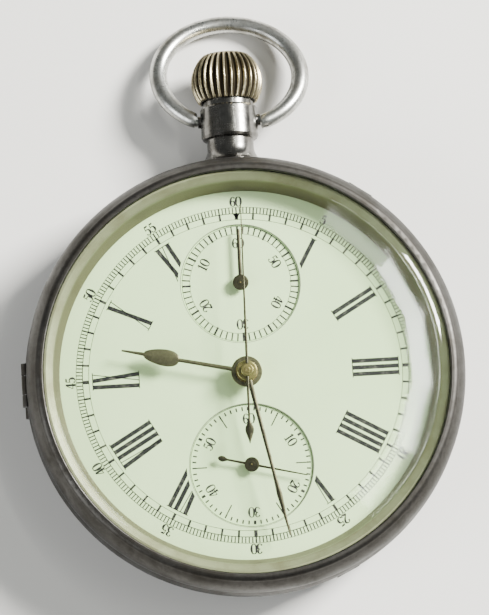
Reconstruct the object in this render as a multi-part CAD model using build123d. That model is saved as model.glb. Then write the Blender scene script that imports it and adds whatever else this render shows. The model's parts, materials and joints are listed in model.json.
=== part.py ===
from build123d import *
import math
import os

# Open-face pocket chronograph, lying on its back. Millimetres.
# Origin: middle of the flat of the back cover. +Z goes up through the dial, +Y points to 12 o'clock.
# Angles called "clock" run clockwise from 12 o'clock, seen from the dial side.

# ---------------------------------------------------------------- driving dimensions
CASE_R = 26.45           # widest radius of the case band
BACK_SEAM_Z = 3.6        # joint between back cover and band
FRONT_SEAM_Z = 8.9       # joint between band and bezel
STEM_Z = 5.6             # height of the pendant, stem and crown axis
DIAL_TOP_Z = 9.0
DIAL_T = 0.7
DIAL_R = 22.5
SUNK = 0.28              # depth of the small dials below the main dial
SUBDIAL_OFFSET = 11.0    # centre of each small dial from the hand axis
SUBDIAL_PLAY = 0.02      # between each small dial and its hole
RECORDER_R = 7.2
SECONDS_R = 7.4
GLASS_R = 24.1
GLASS_RIM_Z = 12.6
GLASS_TOP_Z = 15.0
GLASS_T = 0.9
PLATE_Z = (6.5, 7.45)    # main plate, below the dial
BRIDGE_Z = (3.6, 4.5)    # bridges, on the back side of the train
LEVER_Z = (2.3, 2.5)     # heart cams, hammer and operating lever
CHRONO_Z = (2.6, 2.8)    # chronograph wheels and brake
CLUTCH_Z = (2.9, 3.2)    # clutch lever
RATCHET_Z = (2.95, 3.5)  # crown wheel, ratchet wheel and click

HOUR_CLOCK = 282.7       # rest angles of the hands
MINUTE_CLOCK = 168.8
CHRONO_CLOCK = 1.2
SECONDS_CLOCK = 104.0
RECORDER_CLOCK = 0.6

# ---------------------------------------------------------------- plan positions of the movement
CENTRE = (0.0, 0.0)
FOURTH = (0.0, -SUBDIAL_OFFSET)
RECORDER = (0.0, SUBDIAL_OFFSET)
BARREL = (6.9, 5.8)
CROWN_WHEEL = (0.0, 16.0)
BALANCE = (-10.6, -7.2)
MINUTE_WHEEL = (-3.62, 0.0)
COLUMN_WHEEL = (-11.5, 9.5)
HAMMER_PIVOT = (-6.2, 6.0)
BRAKE_PIVOT = (-10.2, 1.6)
OPERATING_PIVOT = (-8.5, 16.0)
SETTING_PIVOT = (5.6, 17.4)
YOKE_PIVOT = (-5.6, 13.5)
COCK_FOOT = (-6.3, -17.6)
CHRONO_FEET = [(-6.6, -0.5), (-6.4, 14.6)]

# ---------------------------------------------------------------- gearing: teeth and modules
CENTRE_TEETH, THIRD_LEAVES, CENTRE_MODULE = 64, 8, 0.17
THIRD_TEETH, FOURTH_LEAVES, THIRD_MODULE = 60, 8, 0.15
FOURTH_TEETH, ESCAPE_LEAVES, FOURTH_MODULE = 80, 8, 0.11
BARREL_TEETH, CENTRE_LEAVES, BARREL_MODULE = 80, 10, 0.2
CANNON_LEAVES, MINUTE_TEETH, MINUTE_MODULE = 12, 36, 0.15
MINUTE_LEAVES, HOUR_TEETH, HOUR_MODULE = 10, 40, 0.144
CROWN_TEETH, RATCHET_TEETH, RATCHET_MODULE = 34, 64, 0.25
CHRONO_TEETH, COUPLING_TEETH, CHRONO_MODULE = 84, 27, 0.1
RECORDER_TEETH, RECORDER_MODULE = 60, 0.09
ESCAPE_TEETH = 15

# ---------------------------------------------------------------- pendant, crown and bow
PENDANT_R = 3.5
PENDANT_TOP_Y = 34.5
PENDANT_SHOULDER_Y = 33.4  # above it the pendant is thinner and reaches up inside the crown
PENDANT_TIP_R = 3.08
CROWN_R = 4.38
CROWN_Y = 36.6           # centre of the ball of the crown
CROWN_TOP = 3.35         # from the centre to the flattened top
CROWN_BOTTOM = 2.5       # from the centre to the underside
CROWN_FLUTES = 30
CROWN_HUB_R = 2.65
CROWN_RECESS = (3.18, 35.25)  # radius and end of the recess that clears the pendant
RIB_WIDTH = 0.46
FLUTE_DEPTH = 0.3
BOW_PIVOT_Y = 31.75
BOW_PIVOT_R = 0.45
BOW_HALF_WIDTH = 8.75    # to the middle of the wire
BOW_HALF_HEIGHT = 7.5    # of the same oval, along the pendant
BOW_MIDDLE_Y = 6.6       # pivot line to the middle of the oval
BOW_WIRE_R = 1.1
BOW_END_SHARE = 0.84     # thickness of the wire at its ends, as a share of the full thickness
BOW_END_X = 3.86         # flat ends of the wire, beside the bosses of the pendant
BOW_SKEW_DEG = 4.0       # how far the ring sits askew on its pivots, clockwise from the dial side
BOW_TIP_DEG = 18.6       # how far the bow is tipped down at rest, onto the table
BOSS_R = 0.72            # raised bosses of the pendant around the bow's pivots
BOSS_END_X = 3.8

# ---------------------------------------------------------------- hinges of the case, at 9 o'clock
KNUCKLE_R = 0.55
KNUCKLE_NOTCH_R = 0.7
HINGE_PIN_R = 0.25
HINGE_PLAY = 0.03
BACK_HINGE = (-26.1, 3.4)    # x, z
FRONT_HINGE = (-26.25, 9.15)


# ---------------------------------------------------------------- helpers
def polar(radius, clock, centre=CENTRE):
    angle = math.radians(clock)
    return (centre[0] + radius * math.sin(angle), centre[1] + radius * math.cos(angle))


def third_corner(a, b, from_a, from_b, side):
    """The point at the two given distances from a and b, on the given side of the line a to b."""
    dx, dy = b[0] - a[0], b[1] - a[1]
    span = math.hypot(dx, dy)
    along = (from_a ** 2 - from_b ** 2 + span ** 2) / (2 * span)
    off = math.sqrt(from_a ** 2 - along ** 2) * side
    return (a[0] + (along * dx - off * dy) / span, a[1] + (along * dy + off * dx) / span)


def toward(a, b, distance):
    """The point at a distance from a, on the way to b."""
    span = math.dist(a, b)
    return (a[0] + (b[0] - a[0]) * distance / span, a[1] + (b[1] - a[1]) * distance / span)


def turned(*steps):
    """A body of revolution about Z. A step is (r, z), or (mid r, mid z, end r, end z) for an arc."""
    start = steps[0]
    here = start
    edges = []
    for step in list(steps[1:]) + [start]:
        end = step[-2:]
        if len(step) == 4:
            edges.append(ThreePointArc((here[0], 0, here[1]), (step[0], 0, step[1]), (end[0], 0, end[1])))
        elif math.dist(here, end) > 1e-6:
            edges.append(Line((here[0], 0, here[1]), (end[0], 0, end[1])))
        here = end
    return revolve(make_face(edges), Axis.Z)


def disc(radius, z_range, centre=CENTRE):
    low, high = z_range
    column = Cylinder(radius, high - low, align=(Align.CENTER, Align.CENTER, Align.MIN))
    return Pos(centre[0], centre[1], low) * column


def tube(outer, inner, z_range, centre=CENTRE):
    return disc(outer, z_range, centre) - disc(inner, z_range, centre)


def block(x_range, y_range, z_range):
    size = [r[1] - r[0] for r in (x_range, y_range, z_range)]
    middle = [(r[0] + r[1]) / 2 for r in (x_range, y_range, z_range)]
    return Pos(*middle) * Box(*size)


def slab(sketch, z_range, centre=CENTRE):
    return Pos(centre[0], centre[1], z_range[0]) * extrude(sketch, amount=z_range[1] - z_range[0])


def along_stem(body):
    """Lay a body that was turned about Z along the stem: its Z becomes +Y."""
    return Pos(0, 0, STEM_Z) * (Rot(-90, 0, 0) * body)


def outline(points):
    return make_face(Polyline(*points, close=True))


def strip(points, widths, z_range):
    """A flat lever: round-ended straight pieces through the points, with a half width at each."""
    bodies = [disc(w, z_range, p) for p, w in zip(points, widths)]
    for (p, q), (wp, wq) in zip(zip(points, points[1:]), zip(widths, widths[1:])):
        span = math.dist(p, q)
        nx, ny = -(q[1] - p[1]) / span, (q[0] - p[0]) / span
        corners = [(p[0] + nx * wp, p[1] + ny * wp), (q[0] + nx * wq, q[1] + ny * wq),
                   (q[0] - nx * wq, q[1] - ny * wq), (p[0] - nx * wp, p[1] - ny * wp)]
        bodies.append(slab(outline(corners), z_range))
    return Part() + bodies


def spiral(inner, outer, turns, thickness, z_range, centre=CENTRE):
    """A flat wound spring."""
    steps = int(turns * 20)
    inside = []
    outside = []
    for i in range(steps + 1):
        angle = 2 * math.pi * turns * i / steps
        radius = inner + (outer - inner) * i / steps
        for points, r in ((inside, radius), (outside, radius + thickness)):
            points.append((r * math.cos(angle), r * math.sin(angle)))
    return slab(outline(inside + outside[::-1]), z_range, centre)


# ---------------------------------------------------------------- toothed wheels
ADDENDUM, DEDENDUM = 0.85, 1.25       # in modules
ROOT_SHARE, TIP_SHARE = 0.27, 0.12    # half thickness of a tooth at root and tip, in pitches


def pitch_radius(teeth, module):
    return teeth * module / 2


def tooth_ring(teeth, module, phase):
    """Outline of a toothed wheel with a tooth at the phase angle, in degrees from +X."""
    root = pitch_radius(teeth, module) - DEDENDUM * module
    tip = pitch_radius(teeth, module) + ADDENDUM * module
    points = []
    for i in range(teeth):
        for radius, share in ((root, -ROOT_SHARE), (tip, -TIP_SHARE), (tip, TIP_SHARE), (root, ROOT_SHARE)):
            angle = math.radians(phase + 360 * (i + share) / teeth)
            points.append((radius * math.cos(angle), radius * math.sin(angle)))
    return outline(points)


def mesh_phase(centre, teeth, phase, other, other_teeth):
    """Phase that puts a second wheel in mesh with the first."""
    line = math.degrees(math.atan2(other[1] - centre[1], other[0] - centre[0]))
    return line + 180 + 180 / other_teeth - (phase - line) * teeth / other_teeth


def wheel(teeth, module, z_range, centre, phase, rim=0.55, spokes=4, hub=0.9):
    """A crossed-out wheel: toothed rim, straight spokes and hub."""
    inner = pitch_radius(teeth, module) - DEDENDUM * module - rim
    face = tooth_ring(teeth, module, phase) - Circle(inner)
    for i in range(spokes):
        angle = 360 * i / spokes + phase
        face += Rot(0, 0, angle) * (Pos((inner + hub) / 2, 0) * Rectangle(inner - hub + 0.6, 0.45))
    face += Circle(hub)
    return slab(face, z_range, centre)


def pinion(leaves, module, z_range, centre, phase):
    return slab(tooth_ring(leaves, module, phase), z_range, centre)


def arbor(centre, *sections):
    """A stepped arbor: sections are (radius, low z, high z)."""
    return Part() + [disc(radius, (low, high), centre) for radius, low, high in sections]


def heart(z_range, centre, clock):
    """A heart cam, lowest point of its edge at the clock angle."""
    low, rise, steps = 0.62, 0.62, 24
    points = []
    for i in range(steps):
        share = i / steps
        turn = 2 * math.pi * share + math.radians(90 - clock)
        radius = low + rise * (1 - abs(1 - 2 * share))
        points.append((radius * math.cos(turn), radius * math.sin(turn)))
    return slab(outline(points), z_range, centre)


# ---------------------------------------------------------------- positions that follow from the gearing
THIRD = third_corner(CENTRE, FOURTH,
                     pitch_radius(CENTRE_TEETH + THIRD_LEAVES, CENTRE_MODULE) + 0.01,
                     pitch_radius(THIRD_TEETH + FOURTH_LEAVES, THIRD_MODULE) + 0.01, 1)
ESCAPE = third_corner(FOURTH, BALANCE,
                      pitch_radius(FOURTH_TEETH + ESCAPE_LEAVES, FOURTH_MODULE) + 0.01, 7.2, 1)
PALLET = toward(ESCAPE, BALANCE, 3.05)
COUPLING = third_corner(FOURTH, CENTRE,
                        pitch_radius(CHRONO_TEETH + COUPLING_TEETH, CHRONO_MODULE) + 0.01, 6.0, 1)

# phases, each wheel in mesh with the one before
CENTRE_PHASE = 7.0
BARREL_PHASE = mesh_phase(CENTRE, CENTRE_LEAVES, CENTRE_PHASE, BARREL, BARREL_TEETH)
THIRD_PINION_PHASE = mesh_phase(CENTRE, CENTRE_TEETH, CENTRE_PHASE, THIRD, THIRD_LEAVES)
FOURTH_PINION_PHASE = mesh_phase(THIRD, THIRD_TEETH, THIRD_PINION_PHASE, FOURTH, FOURTH_LEAVES)
ESCAPE_PINION_PHASE = mesh_phase(FOURTH, FOURTH_TEETH, FOURTH_PINION_PHASE, ESCAPE, ESCAPE_LEAVES)
MINUTE_PHASE = mesh_phase(CENTRE, CANNON_LEAVES, 0.0, MINUTE_WHEEL, MINUTE_TEETH)
HOUR_PHASE = mesh_phase(MINUTE_WHEEL, MINUTE_LEAVES, MINUTE_PHASE, CENTRE, HOUR_TEETH)
CROWN_PHASE = mesh_phase(BARREL, RATCHET_TEETH, 0.0, CROWN_WHEEL, CROWN_TEETH)
COUPLING_PHASE = mesh_phase(FOURTH, CHRONO_TEETH, FOURTH_PINION_PHASE, COUPLING, COUPLING_TEETH)


# ---------------------------------------------------------------- case
BACK_FLAT_R = 17.45
BACK_CURVE_END_R = 24.55
BACK_T = 0.55
BEZEL_R = 26.1
BACK_WALL_R = 25.95
BACK_CURVE_R = 20.0      # slow curve of the back
BACK_EDGE_R = 2.171      # tight curve up into the wall
BACK_SLOPE = math.asin((BACK_CURVE_END_R - BACK_FLAT_R) / BACK_CURVE_R)
BACK_EDGE_CENTRE = (BACK_WALL_R - BACK_EDGE_R, 3.33)
BACK_RIM_Z = BACK_SEAM_Z - 0.05
SPIGOT_R = (23.75, 24.75)
FRONT_SPIGOT_R = (23.7, 24.6)
BORE_R = 22.65


def back_curve(inset, share):
    """A point of the slow curve of the back, the given share of the way out."""
    slope = BACK_SLOPE * share
    radius = BACK_CURVE_R - inset
    return (BACK_FLAT_R + radius * math.sin(slope), BACK_CURVE_R - radius * math.cos(slope))


def back_edge(inset, share):
    """A point of the tight curve into the wall."""
    slope = BACK_SLOPE + (math.pi / 2 - BACK_SLOPE) * share
    radius = BACK_EDGE_R - inset
    centre_r, centre_z = BACK_EDGE_CENTRE
    return (centre_r + radius * math.sin(slope), centre_z - radius * math.cos(slope))


def hinge_bar(hinge, y_range, radius):
    x, z = hinge
    bar = Cylinder(radius, y_range[1] - y_range[0], rotation=(90, 0, 0))
    return Pos(x, (y_range[0] + y_range[1]) / 2, z) * bar


def both_sides(hinge, low, high, radius):
    return hinge_bar(hinge, (low, high), radius) + hinge_bar(hinge, (-high, -low), radius)


def mid_case():
    band = turned(
        (BACK_WALL_R, BACK_SEAM_Z), (CASE_R, 6.1, BEZEL_R, FRONT_SEAM_Z),
        (FRONT_SPIGOT_R[1], FRONT_SEAM_Z), (FRONT_SPIGOT_R[1], 9.7), (FRONT_SPIGOT_R[0], 9.7),
        (FRONT_SPIGOT_R[0], DIAL_TOP_Z), (BORE_R, DIAL_TOP_Z), (BORE_R, 7.45), (22.0, 7.45), (22.0, 6.7),
        (24.7, 6.7), (24.7, 4.3), (22.3, 4.3), (22.3, BACK_SEAM_Z), (SPIGOT_R[0], BACK_SEAM_Z),
        (SPIGOT_R[0], 3.0), (SPIGOT_R[1], 3.0), (SPIGOT_R[1], BACK_SEAM_Z))
    stem_hole = along_stem(disc(1.75, (20.0, 27.0)))
    band -= stem_hole
    band -= hinge_bar(BACK_HINGE, (-1.95, 1.95), KNUCKLE_NOTCH_R)
    band -= hinge_bar(FRONT_HINGE, (-1.2, 1.2), KNUCKLE_NOTCH_R)
    band -= block((-26.0, -23.2), (-0.95, 0.95), (2.9, BACK_SEAM_Z + 0.02))
    band += both_sides(BACK_HINGE, 1.95, 3.3, KNUCKLE_R)
    band += both_sides(FRONT_HINGE, 1.2, 2.6, KNUCKLE_R)
    band -= hinge_bar(BACK_HINGE, (-3.4, 3.4), HINGE_PIN_R)
    band -= hinge_bar(FRONT_HINGE, (-2.7, 2.7), HINGE_PIN_R)
    return band


def back_cover():
    shell = turned(
        (0, 0), (BACK_FLAT_R, 0), (*back_curve(0, 0.5), *back_curve(0, 1)),
        (*back_edge(0, 0.5), *back_edge(0, 1)),
        (BACK_WALL_R, BACK_RIM_Z), (BACK_WALL_R - BACK_T, BACK_RIM_Z),
        back_edge(BACK_T, 1), (*back_edge(BACK_T, 0.5), *back_edge(BACK_T, 0)),
        (*back_curve(BACK_T, 0.5), *back_curve(BACK_T, 0)), (0, BACK_T))
    lip = Pos(*polar(BACK_WALL_R + 0.1, 155.0), 3.3) * (Rot(0, 0, -155) * Box(3.0, 0.7, 0.4))
    shell += lip
    shell -= both_sides(BACK_HINGE, 1.9, 3.45, KNUCKLE_NOTCH_R)
    shell -= hinge_bar(BACK_HINGE, (-0.95, 0.95), KNUCKLE_NOTCH_R)
    shell -= block((-26.1, -24.5), (-0.95, 0.95), (2.7, 4.0))
    shell += both_sides(BACK_HINGE, 0.8, 1.9, KNUCKLE_R)
    return shell - hinge_bar(BACK_HINGE, (-2, 2), HINGE_PIN_R + HINGE_PLAY)


def cuvette():
    """The inner dust cover: a shallow dish with a flat rim."""
    dish = turned((0, 1.3), (20.4, 1.3), (22.4, 3.1), (23.6, 3.1), (23.6, 3.45), (22.2, 3.45),
                  (20.2, 1.65), (0, 1.65))
    dish += block((-26.1, -23.3), (-0.7, 0.7), (3.1, 3.45))
    dish += hinge_bar(BACK_HINGE, (-0.75, 0.75), KNUCKLE_R)
    return dish - hinge_bar(BACK_HINGE, (-2, 2), HINGE_PIN_R + HINGE_PLAY)


def bezel():
    rim = turned(
        (24.75, 8.95), (BEZEL_R, 8.95), (BEZEL_R + 0.02, 11.0, 25.2, 12.7), (24.8, 13.08, 24.4, 13.15),
        (24.2, 13.1, 24.15, 12.9), (24.15, 9.85), (24.75, 9.85))
    lip = Pos(*polar(BEZEL_R + 0.05, 35.0), 9.25) * (Rot(0, 0, -35) * Box(3.2, 0.7, 0.4))
    rim += lip
    rim -= both_sides(FRONT_HINGE, 1.15, 2.75, KNUCKLE_NOTCH_R)
    rim += hinge_bar(FRONT_HINGE, (-1.1, 1.1), KNUCKLE_R)
    return rim - hinge_bar(FRONT_HINGE, (-1.3, 1.3), HINGE_PIN_R + HINGE_PLAY)


def reflector_ring():
    """The gilt ring inside the bezel that rises from the edge of the dial to the glass."""
    return turned((22.28, 9.05), (23.4, 9.05), (23.5, 11.6), (24.1, 11.7), (24.1, GLASS_RIM_Z - 0.03),
                  (23.85, GLASS_RIM_Z - 0.03), (23.05, 12.0))


def dome(radius, low, high):
    """An arc step for turned(), along a sphere from (radius, low) or the axis at (0, high)."""
    height = high - low
    sphere = (radius ** 2 + height ** 2) / (2 * height)
    mid_r = radius / 2
    return (mid_r, high - sphere + math.sqrt(sphere ** 2 - mid_r ** 2))


def crystal():
    """A domed glass with an upright edge and a flat seat below it."""
    shoulder = (22.7, GLASS_RIM_Z + 0.72)
    edge = (GLASS_R, GLASS_RIM_Z + 0.1)
    inner = (22.9, GLASS_RIM_Z + 0.1)
    inner_top = GLASS_TOP_Z - GLASS_T
    return turned(
        (0, GLASS_TOP_Z), (*dome(*shoulder, GLASS_TOP_Z), *shoulder),
        (23.55, GLASS_RIM_Z + 0.5, *edge), (GLASS_R, GLASS_RIM_Z), (23.1, GLASS_RIM_Z),
        inner, (*dome(*inner, inner_top), 0, inner_top))


def hinge_pins():
    return hinge_bar(BACK_HINGE, (-3.3, 3.3), HINGE_PIN_R) + hinge_bar(FRONT_HINGE, (-2.6, 2.6), HINGE_PIN_R)


def case_clearance():
    """Space kept for the two covers where the pendant comes near them."""
    return disc(BEZEL_R + 0.1, (-1, BACK_SEAM_Z + 0.05)) + disc(BEZEL_R + 0.1, (FRONT_SEAM_Z - 0.05, 20))


def pendant(band):
    body = along_stem(turned(
        (1.72, 24.75), (3.9, 24.75), (3.75, 26.5), (3.1, 27.3, 2.85, 28.6), (2.85, 29.3), (3.3, 29.45),
        (PENDANT_R, 29.75), (PENDANT_R, PENDANT_SHOULDER_Y - 0.25), (3.35, PENDANT_SHOULDER_Y),
        (PENDANT_TIP_R, PENDANT_SHOULDER_Y), (PENDANT_TIP_R, PENDANT_TOP_Y),
        (2.75, PENDANT_TOP_Y), (2.75, 33.0), (1.72, 33.0)))
    body -= block((-30, 30), (0, 24.8), (-20, 20))
    body -= band
    body -= disc(24.75, (-1, 20))
    body -= case_clearance()
    for side in (-1, 1):
        body += pivot_stub(BOSS_R, PENDANT_R - 0.5, side, BOSS_END_X - PENDANT_R + 0.5)
        body -= pivot_stub(BOW_PIVOT_R + 0.03, PENDANT_R - 1.15, side)
    body -= pendant_screw()
    return body


def pivot_stub(radius, start_x, side=1, length=2.2):
    stub = Cylinder(radius, length, rotation=(0, 90, 0), align=(Align.CENTER, Align.CENTER, Align.MIN))
    return Pos(start_x if side > 0 else -start_x - length, BOW_PIVOT_Y, STEM_Z) * stub


def pendant_screw():
    """The small screw in the neck that keeps the stem in."""
    low = STEM_Z + 2.2
    high = STEM_Z + PENDANT_R - 0.12
    head = disc(0.5, (low, high), (0, 31.2))
    return head - block((-0.6, 0.6), (31.1, 31.3), (high - 0.2, high + 0.1))


def bow():
    """An oval wire ring, thinner at its ends, a little askew on its pivots and tipped down."""
    steps = 20
    start = math.asin((BOW_END_X - 0.25) / BOW_HALF_WIDTH) - math.pi / 2
    skew = math.radians(-BOW_SKEW_DEG)
    wire = []
    for i in range(steps + 1):
        turn = start + (math.pi - 2 * start) * i / steps
        x, y = BOW_HALF_WIDTH * math.cos(turn), BOW_MIDDLE_Y + BOW_HALF_HEIGHT * math.sin(turn)
        wire.append((x * math.cos(skew) - y * math.sin(skew), x * math.sin(skew) + y * math.cos(skew)))
    path = Spline(*[(x, BOW_PIVOT_Y + y, STEM_Z) for x, y in wire])
    sections = []
    for i in range(steps + 1):
        share = i / steps
        fullness = math.sin(math.pi * min(1, 5 * min(share, 1 - share)) / 2)
        top = math.exp(-((share - 0.5) / 0.16) ** 2)
        radius = BOW_WIRE_R * (BOW_END_SHARE + (1 - BOW_END_SHARE) * fullness - 0.05 * top)
        plane = Plane(origin=path @ share, z_dir=path % share)
        sections.append(plane * Circle(radius))
    ring = loft(sections)
    ring -= block((-BOW_END_X, BOW_END_X), (BOW_PIVOT_Y - 3, BOW_PIVOT_Y + 3), (0, 12))
    for side in (-1, 1):
        ring += pivot_stub(BOW_PIVOT_R, PENDANT_R - 1.1, side)
    axis = Axis((0, BOW_PIVOT_Y, STEM_Z), (1, 0, 0))
    return ring.rotate(axis, -BOW_TIP_DEG)


def crown_ball(inset):
    """The onion shape of the crown, made smaller by the inset."""
    radius = CROWN_R - inset
    top = CROWN_TOP - inset
    low = CROWN_BOTTOM - inset
    top_r = math.sqrt(radius ** 2 - top ** 2)
    low_r = math.sqrt(radius ** 2 - low ** 2)
    return turned((0, CROWN_Y + top), (top_r, CROWN_Y + top), (radius, CROWN_Y, low_r, CROWN_Y - low),
                  (0, CROWN_Y - low))


def crown():
    """A ball with ribs from end to end, recessed underneath around a hub."""
    points = []
    for i in range(CROWN_FLUTES):
        for radius, side in ((1.5, -1), (CROWN_R + 1, -1), (CROWN_R + 1, 1), (1.5, 1)):
            angle = 2 * math.pi * i / CROWN_FLUTES
            off = side * min(RIB_WIDTH / 2, radius * math.pi / CROWN_FLUTES * 0.98)
            points.append((radius * math.cos(angle) - off * math.sin(angle),
                           radius * math.sin(angle) + off * math.cos(angle)))
    ribs = slab(outline(points), (CROWN_Y - CROWN_R, CROWN_Y + CROWN_R)) & crown_ball(0)
    body = crown_ball(FLUTE_DEPTH) + ribs
    recess_r, recess_end = CROWN_RECESS
    body -= disc(recess_r, (CROWN_Y - CROWN_R, recess_end))
    body += disc(CROWN_HUB_R, (34.2, CROWN_Y))
    body -= disc(0.85, (34.0, CROWN_Y))
    return along_stem(body)


def pendant_sleeve():
    """The sliding sleeve in the pendant that the crown presses."""
    return along_stem(turned(
        (0.93, 27.0), (1.66, 27.0), (1.66, 33.75), (2.6, 33.75), (2.6, 34.15), (0.93, 34.15)))


def winding_stem():
    shaft = disc(0.85, (22.6, CROWN_Y)) + disc(0.4, (15.9, 17.0))
    shaft += Pos(0, 0, 19.8) * Box(0.85, 0.85, 5.7)
    return along_stem(shaft)


# ---------------------------------------------------------------- dial and hands
def main_dial():
    plate = disc(DIAL_R, (DIAL_TOP_Z - DIAL_T, DIAL_TOP_Z))
    plate -= disc(1.5, (8, 10))
    plate -= disc(RECORDER_R, (8, 10), RECORDER)
    plate -= disc(SECONDS_R, (8, 10), FOURTH)
    for clock in (58, 182, 302):
        plate += disc(0.45, (7.0, DIAL_TOP_Z - DIAL_T), polar(19.4, clock))
    return plate


def subdial(radius, centre):
    plate = disc(radius - SUBDIAL_PLAY, (DIAL_TOP_Z - DIAL_T, DIAL_TOP_Z - SUNK), centre)
    return plate - disc(0.45, (8, 10), centre)


def blade(clock, z_range, profile, centre=CENTRE):
    """A straight hand. The profile is (distance from the axis, half width), from tail to tip."""
    right = [(width, distance) for distance, width in profile]
    left = [(-width, distance) for distance, width in profile]
    shape = Rot(0, 0, -clock) * outline(right + left[::-1])
    return slab(shape, z_range, centre)


def hour_hand():
    leaf_z = (10.86, 11.0)
    leaf_half, leaf_middle, leaf_width, steps = 2.1, 10.3, 0.98, 12
    profile = [(1.0, 0.26)]
    for i in range(steps + 1):
        turn = math.pi * i / steps
        fullness = math.sin(turn) * (1 + 0.28 * math.cos(turn))
        profile.append((leaf_middle - leaf_half * math.cos(turn), 0.22 + (leaf_width - 0.22) * fullness))
    profile.append((15.1, 0.08))
    return blade(HOUR_CLOCK, leaf_z, profile) + disc(1.85, (10.82, 11.02)) - disc(1.32, (10, 12))


def minute_hand():
    profile = [(0.9, 0.2), (12.8, 0.2), (15.4, 0.33), (17.4, 0.19), (20.2, 0.06)]
    body = blade(MINUTE_CLOCK, (11.46, 11.6), profile) + disc(1.22, (11.42, 11.9))
    return body - disc(0.92, (11, 11.8)) - disc(0.55, (11, 12))


def chrono_hand():
    profile = [(-8.8, 0.05), (-7.9, 0.3), (-7.3, 0.5), (-6.9, 0.48), (-6.3, 0.2), (-5.8, 0.12), (0, 0.17),
               (19.9, 0.06)]
    body = blade(CHRONO_CLOCK, (12.24, 12.36), profile) + disc(0.75, (12.1, 12.5))
    return body - disc(0.3, (12, 12.45))


def recorder_hand():
    body = blade(RECORDER_CLOCK, (9.62, 9.76), [(0, 0.24), (6.5, 0.2)], RECORDER)
    return body + disc(0.95, (9.55, 9.85), RECORDER) - disc(0.22, (9.5, 9.8), RECORDER)


def seconds_hand():
    profile = [(-4.2, 0.06), (-3.8, 0.28), (-3.4, 0.26), (-3.0, 0.12), (0, 0.15), (6.7, 0.06)]
    body = blade(SECONDS_CLOCK, (9.62, 9.76), profile, FOURTH) + disc(0.88, (9.55, 9.85), FOURTH)
    return body - disc(0.2, (9.5, 9.8), FOURTH)


# ---------------------------------------------------------------- motion works, under the dial
def cannon_pinion():
    leaves = pinion(CANNON_LEAVES, MINUTE_MODULE, (7.5, 7.8), CENTRE, 0.0)
    return leaves + disc(0.92, (7.8, 11.8)) - disc(0.66, (7, 12))


def minute_wheel():
    body = wheel(MINUTE_TEETH, MINUTE_MODULE, (7.55, 7.75), MINUTE_WHEEL, MINUTE_PHASE)
    body += pinion(MINUTE_LEAVES, HOUR_MODULE, (7.75, 8.15), MINUTE_WHEEL, MINUTE_PHASE)
    return body - disc(0.34, (7, 9), MINUTE_WHEEL)


def hour_wheel():
    body = wheel(HOUR_TEETH, HOUR_MODULE, (7.9, 8.1), CENTRE, HOUR_PHASE, hub=1.5)
    body += disc(1.32, (8.0, 11.1))
    return body - disc(0.98, (7, 12))


# ---------------------------------------------------------------- going train
def barrel():
    body = pinion(BARREL_TEETH, BARREL_MODULE, (4.65, 5.05), BARREL, BARREL_PHASE)
    body += disc(7.5, (5.0, 6.05), BARREL)
    body -= tube(7.0, 1.3, (4.95, 5.85), BARREL)
    return body - disc(1.05, (4, 7), BARREL) - tube(1.4, 0.5, (4.95, 5.85), BARREL)


def barrel_arbor():
    return arbor(BARREL, (1.0, 2.95, 6.45), (0.55, 6.45, 7.3))


def mainspring():
    return spiral(1.6, 6.6, 8, 0.2, (5.05, 5.75), BARREL)


def centre_wheel():
    body = wheel(CENTRE_TEETH, CENTRE_MODULE, (6.15, 6.38), CENTRE, CENTRE_PHASE)
    body += pinion(CENTRE_LEAVES, BARREL_MODULE, (4.62, 5.2), CENTRE, CENTRE_PHASE)
    body += disc(0.63, (3.7, 11.3))
    return body - disc(0.36, (3, 12))


def third_wheel():
    body = wheel(THIRD_TEETH, THIRD_MODULE, (5.5, 5.7), THIRD, THIRD_PINION_PHASE)
    body += pinion(THIRD_LEAVES, CENTRE_MODULE, (6.05, 6.45), THIRD, THIRD_PINION_PHASE)
    return body + arbor(THIRD, (0.22, 4.6, 6.45), (0.13, 3.7, 7.35))


def fourth_wheel():
    body = wheel(FOURTH_TEETH, FOURTH_MODULE, (4.85, 5.05), FOURTH, FOURTH_PINION_PHASE, hub=0.8)
    body += pinion(FOURTH_LEAVES, THIRD_MODULE, (5.4, 5.8), FOURTH, FOURTH_PINION_PHASE)
    body += wheel(CHRONO_TEETH, CHRONO_MODULE, CHRONO_Z, FOURTH, FOURTH_PINION_PHASE, hub=0.8)
    return body + arbor(FOURTH, (0.2, 2.3, 9.8), (0.35, 5.0, 5.5))


def escape_wheel():
    tip, root = 2.4, 1.85
    points = []
    for i in range(ESCAPE_TEETH):
        for radius, lead in ((root, 0.0), (tip, 0.55), (tip, 0.72), (root, 0.42)):
            angle = math.radians(360 * (i + lead) / ESCAPE_TEETH)
            points.append((radius * math.cos(angle), radius * math.sin(angle)))
    face = outline(points) - Circle(1.5) + Rectangle(3.2, 0.3) + Rectangle(0.3, 3.2) + Circle(0.45)
    body = slab(face, (5.9, 6.05), ESCAPE)
    body += pinion(ESCAPE_LEAVES, FOURTH_MODULE, (4.8, 5.15), ESCAPE, ESCAPE_PINION_PHASE)
    return body + arbor(ESCAPE, (0.2, 4.7, 6.3), (0.12, 3.7, 7.35))


# ---------------------------------------------------------------- escapement
FORK_Z = (5.88, 6.1)


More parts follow.
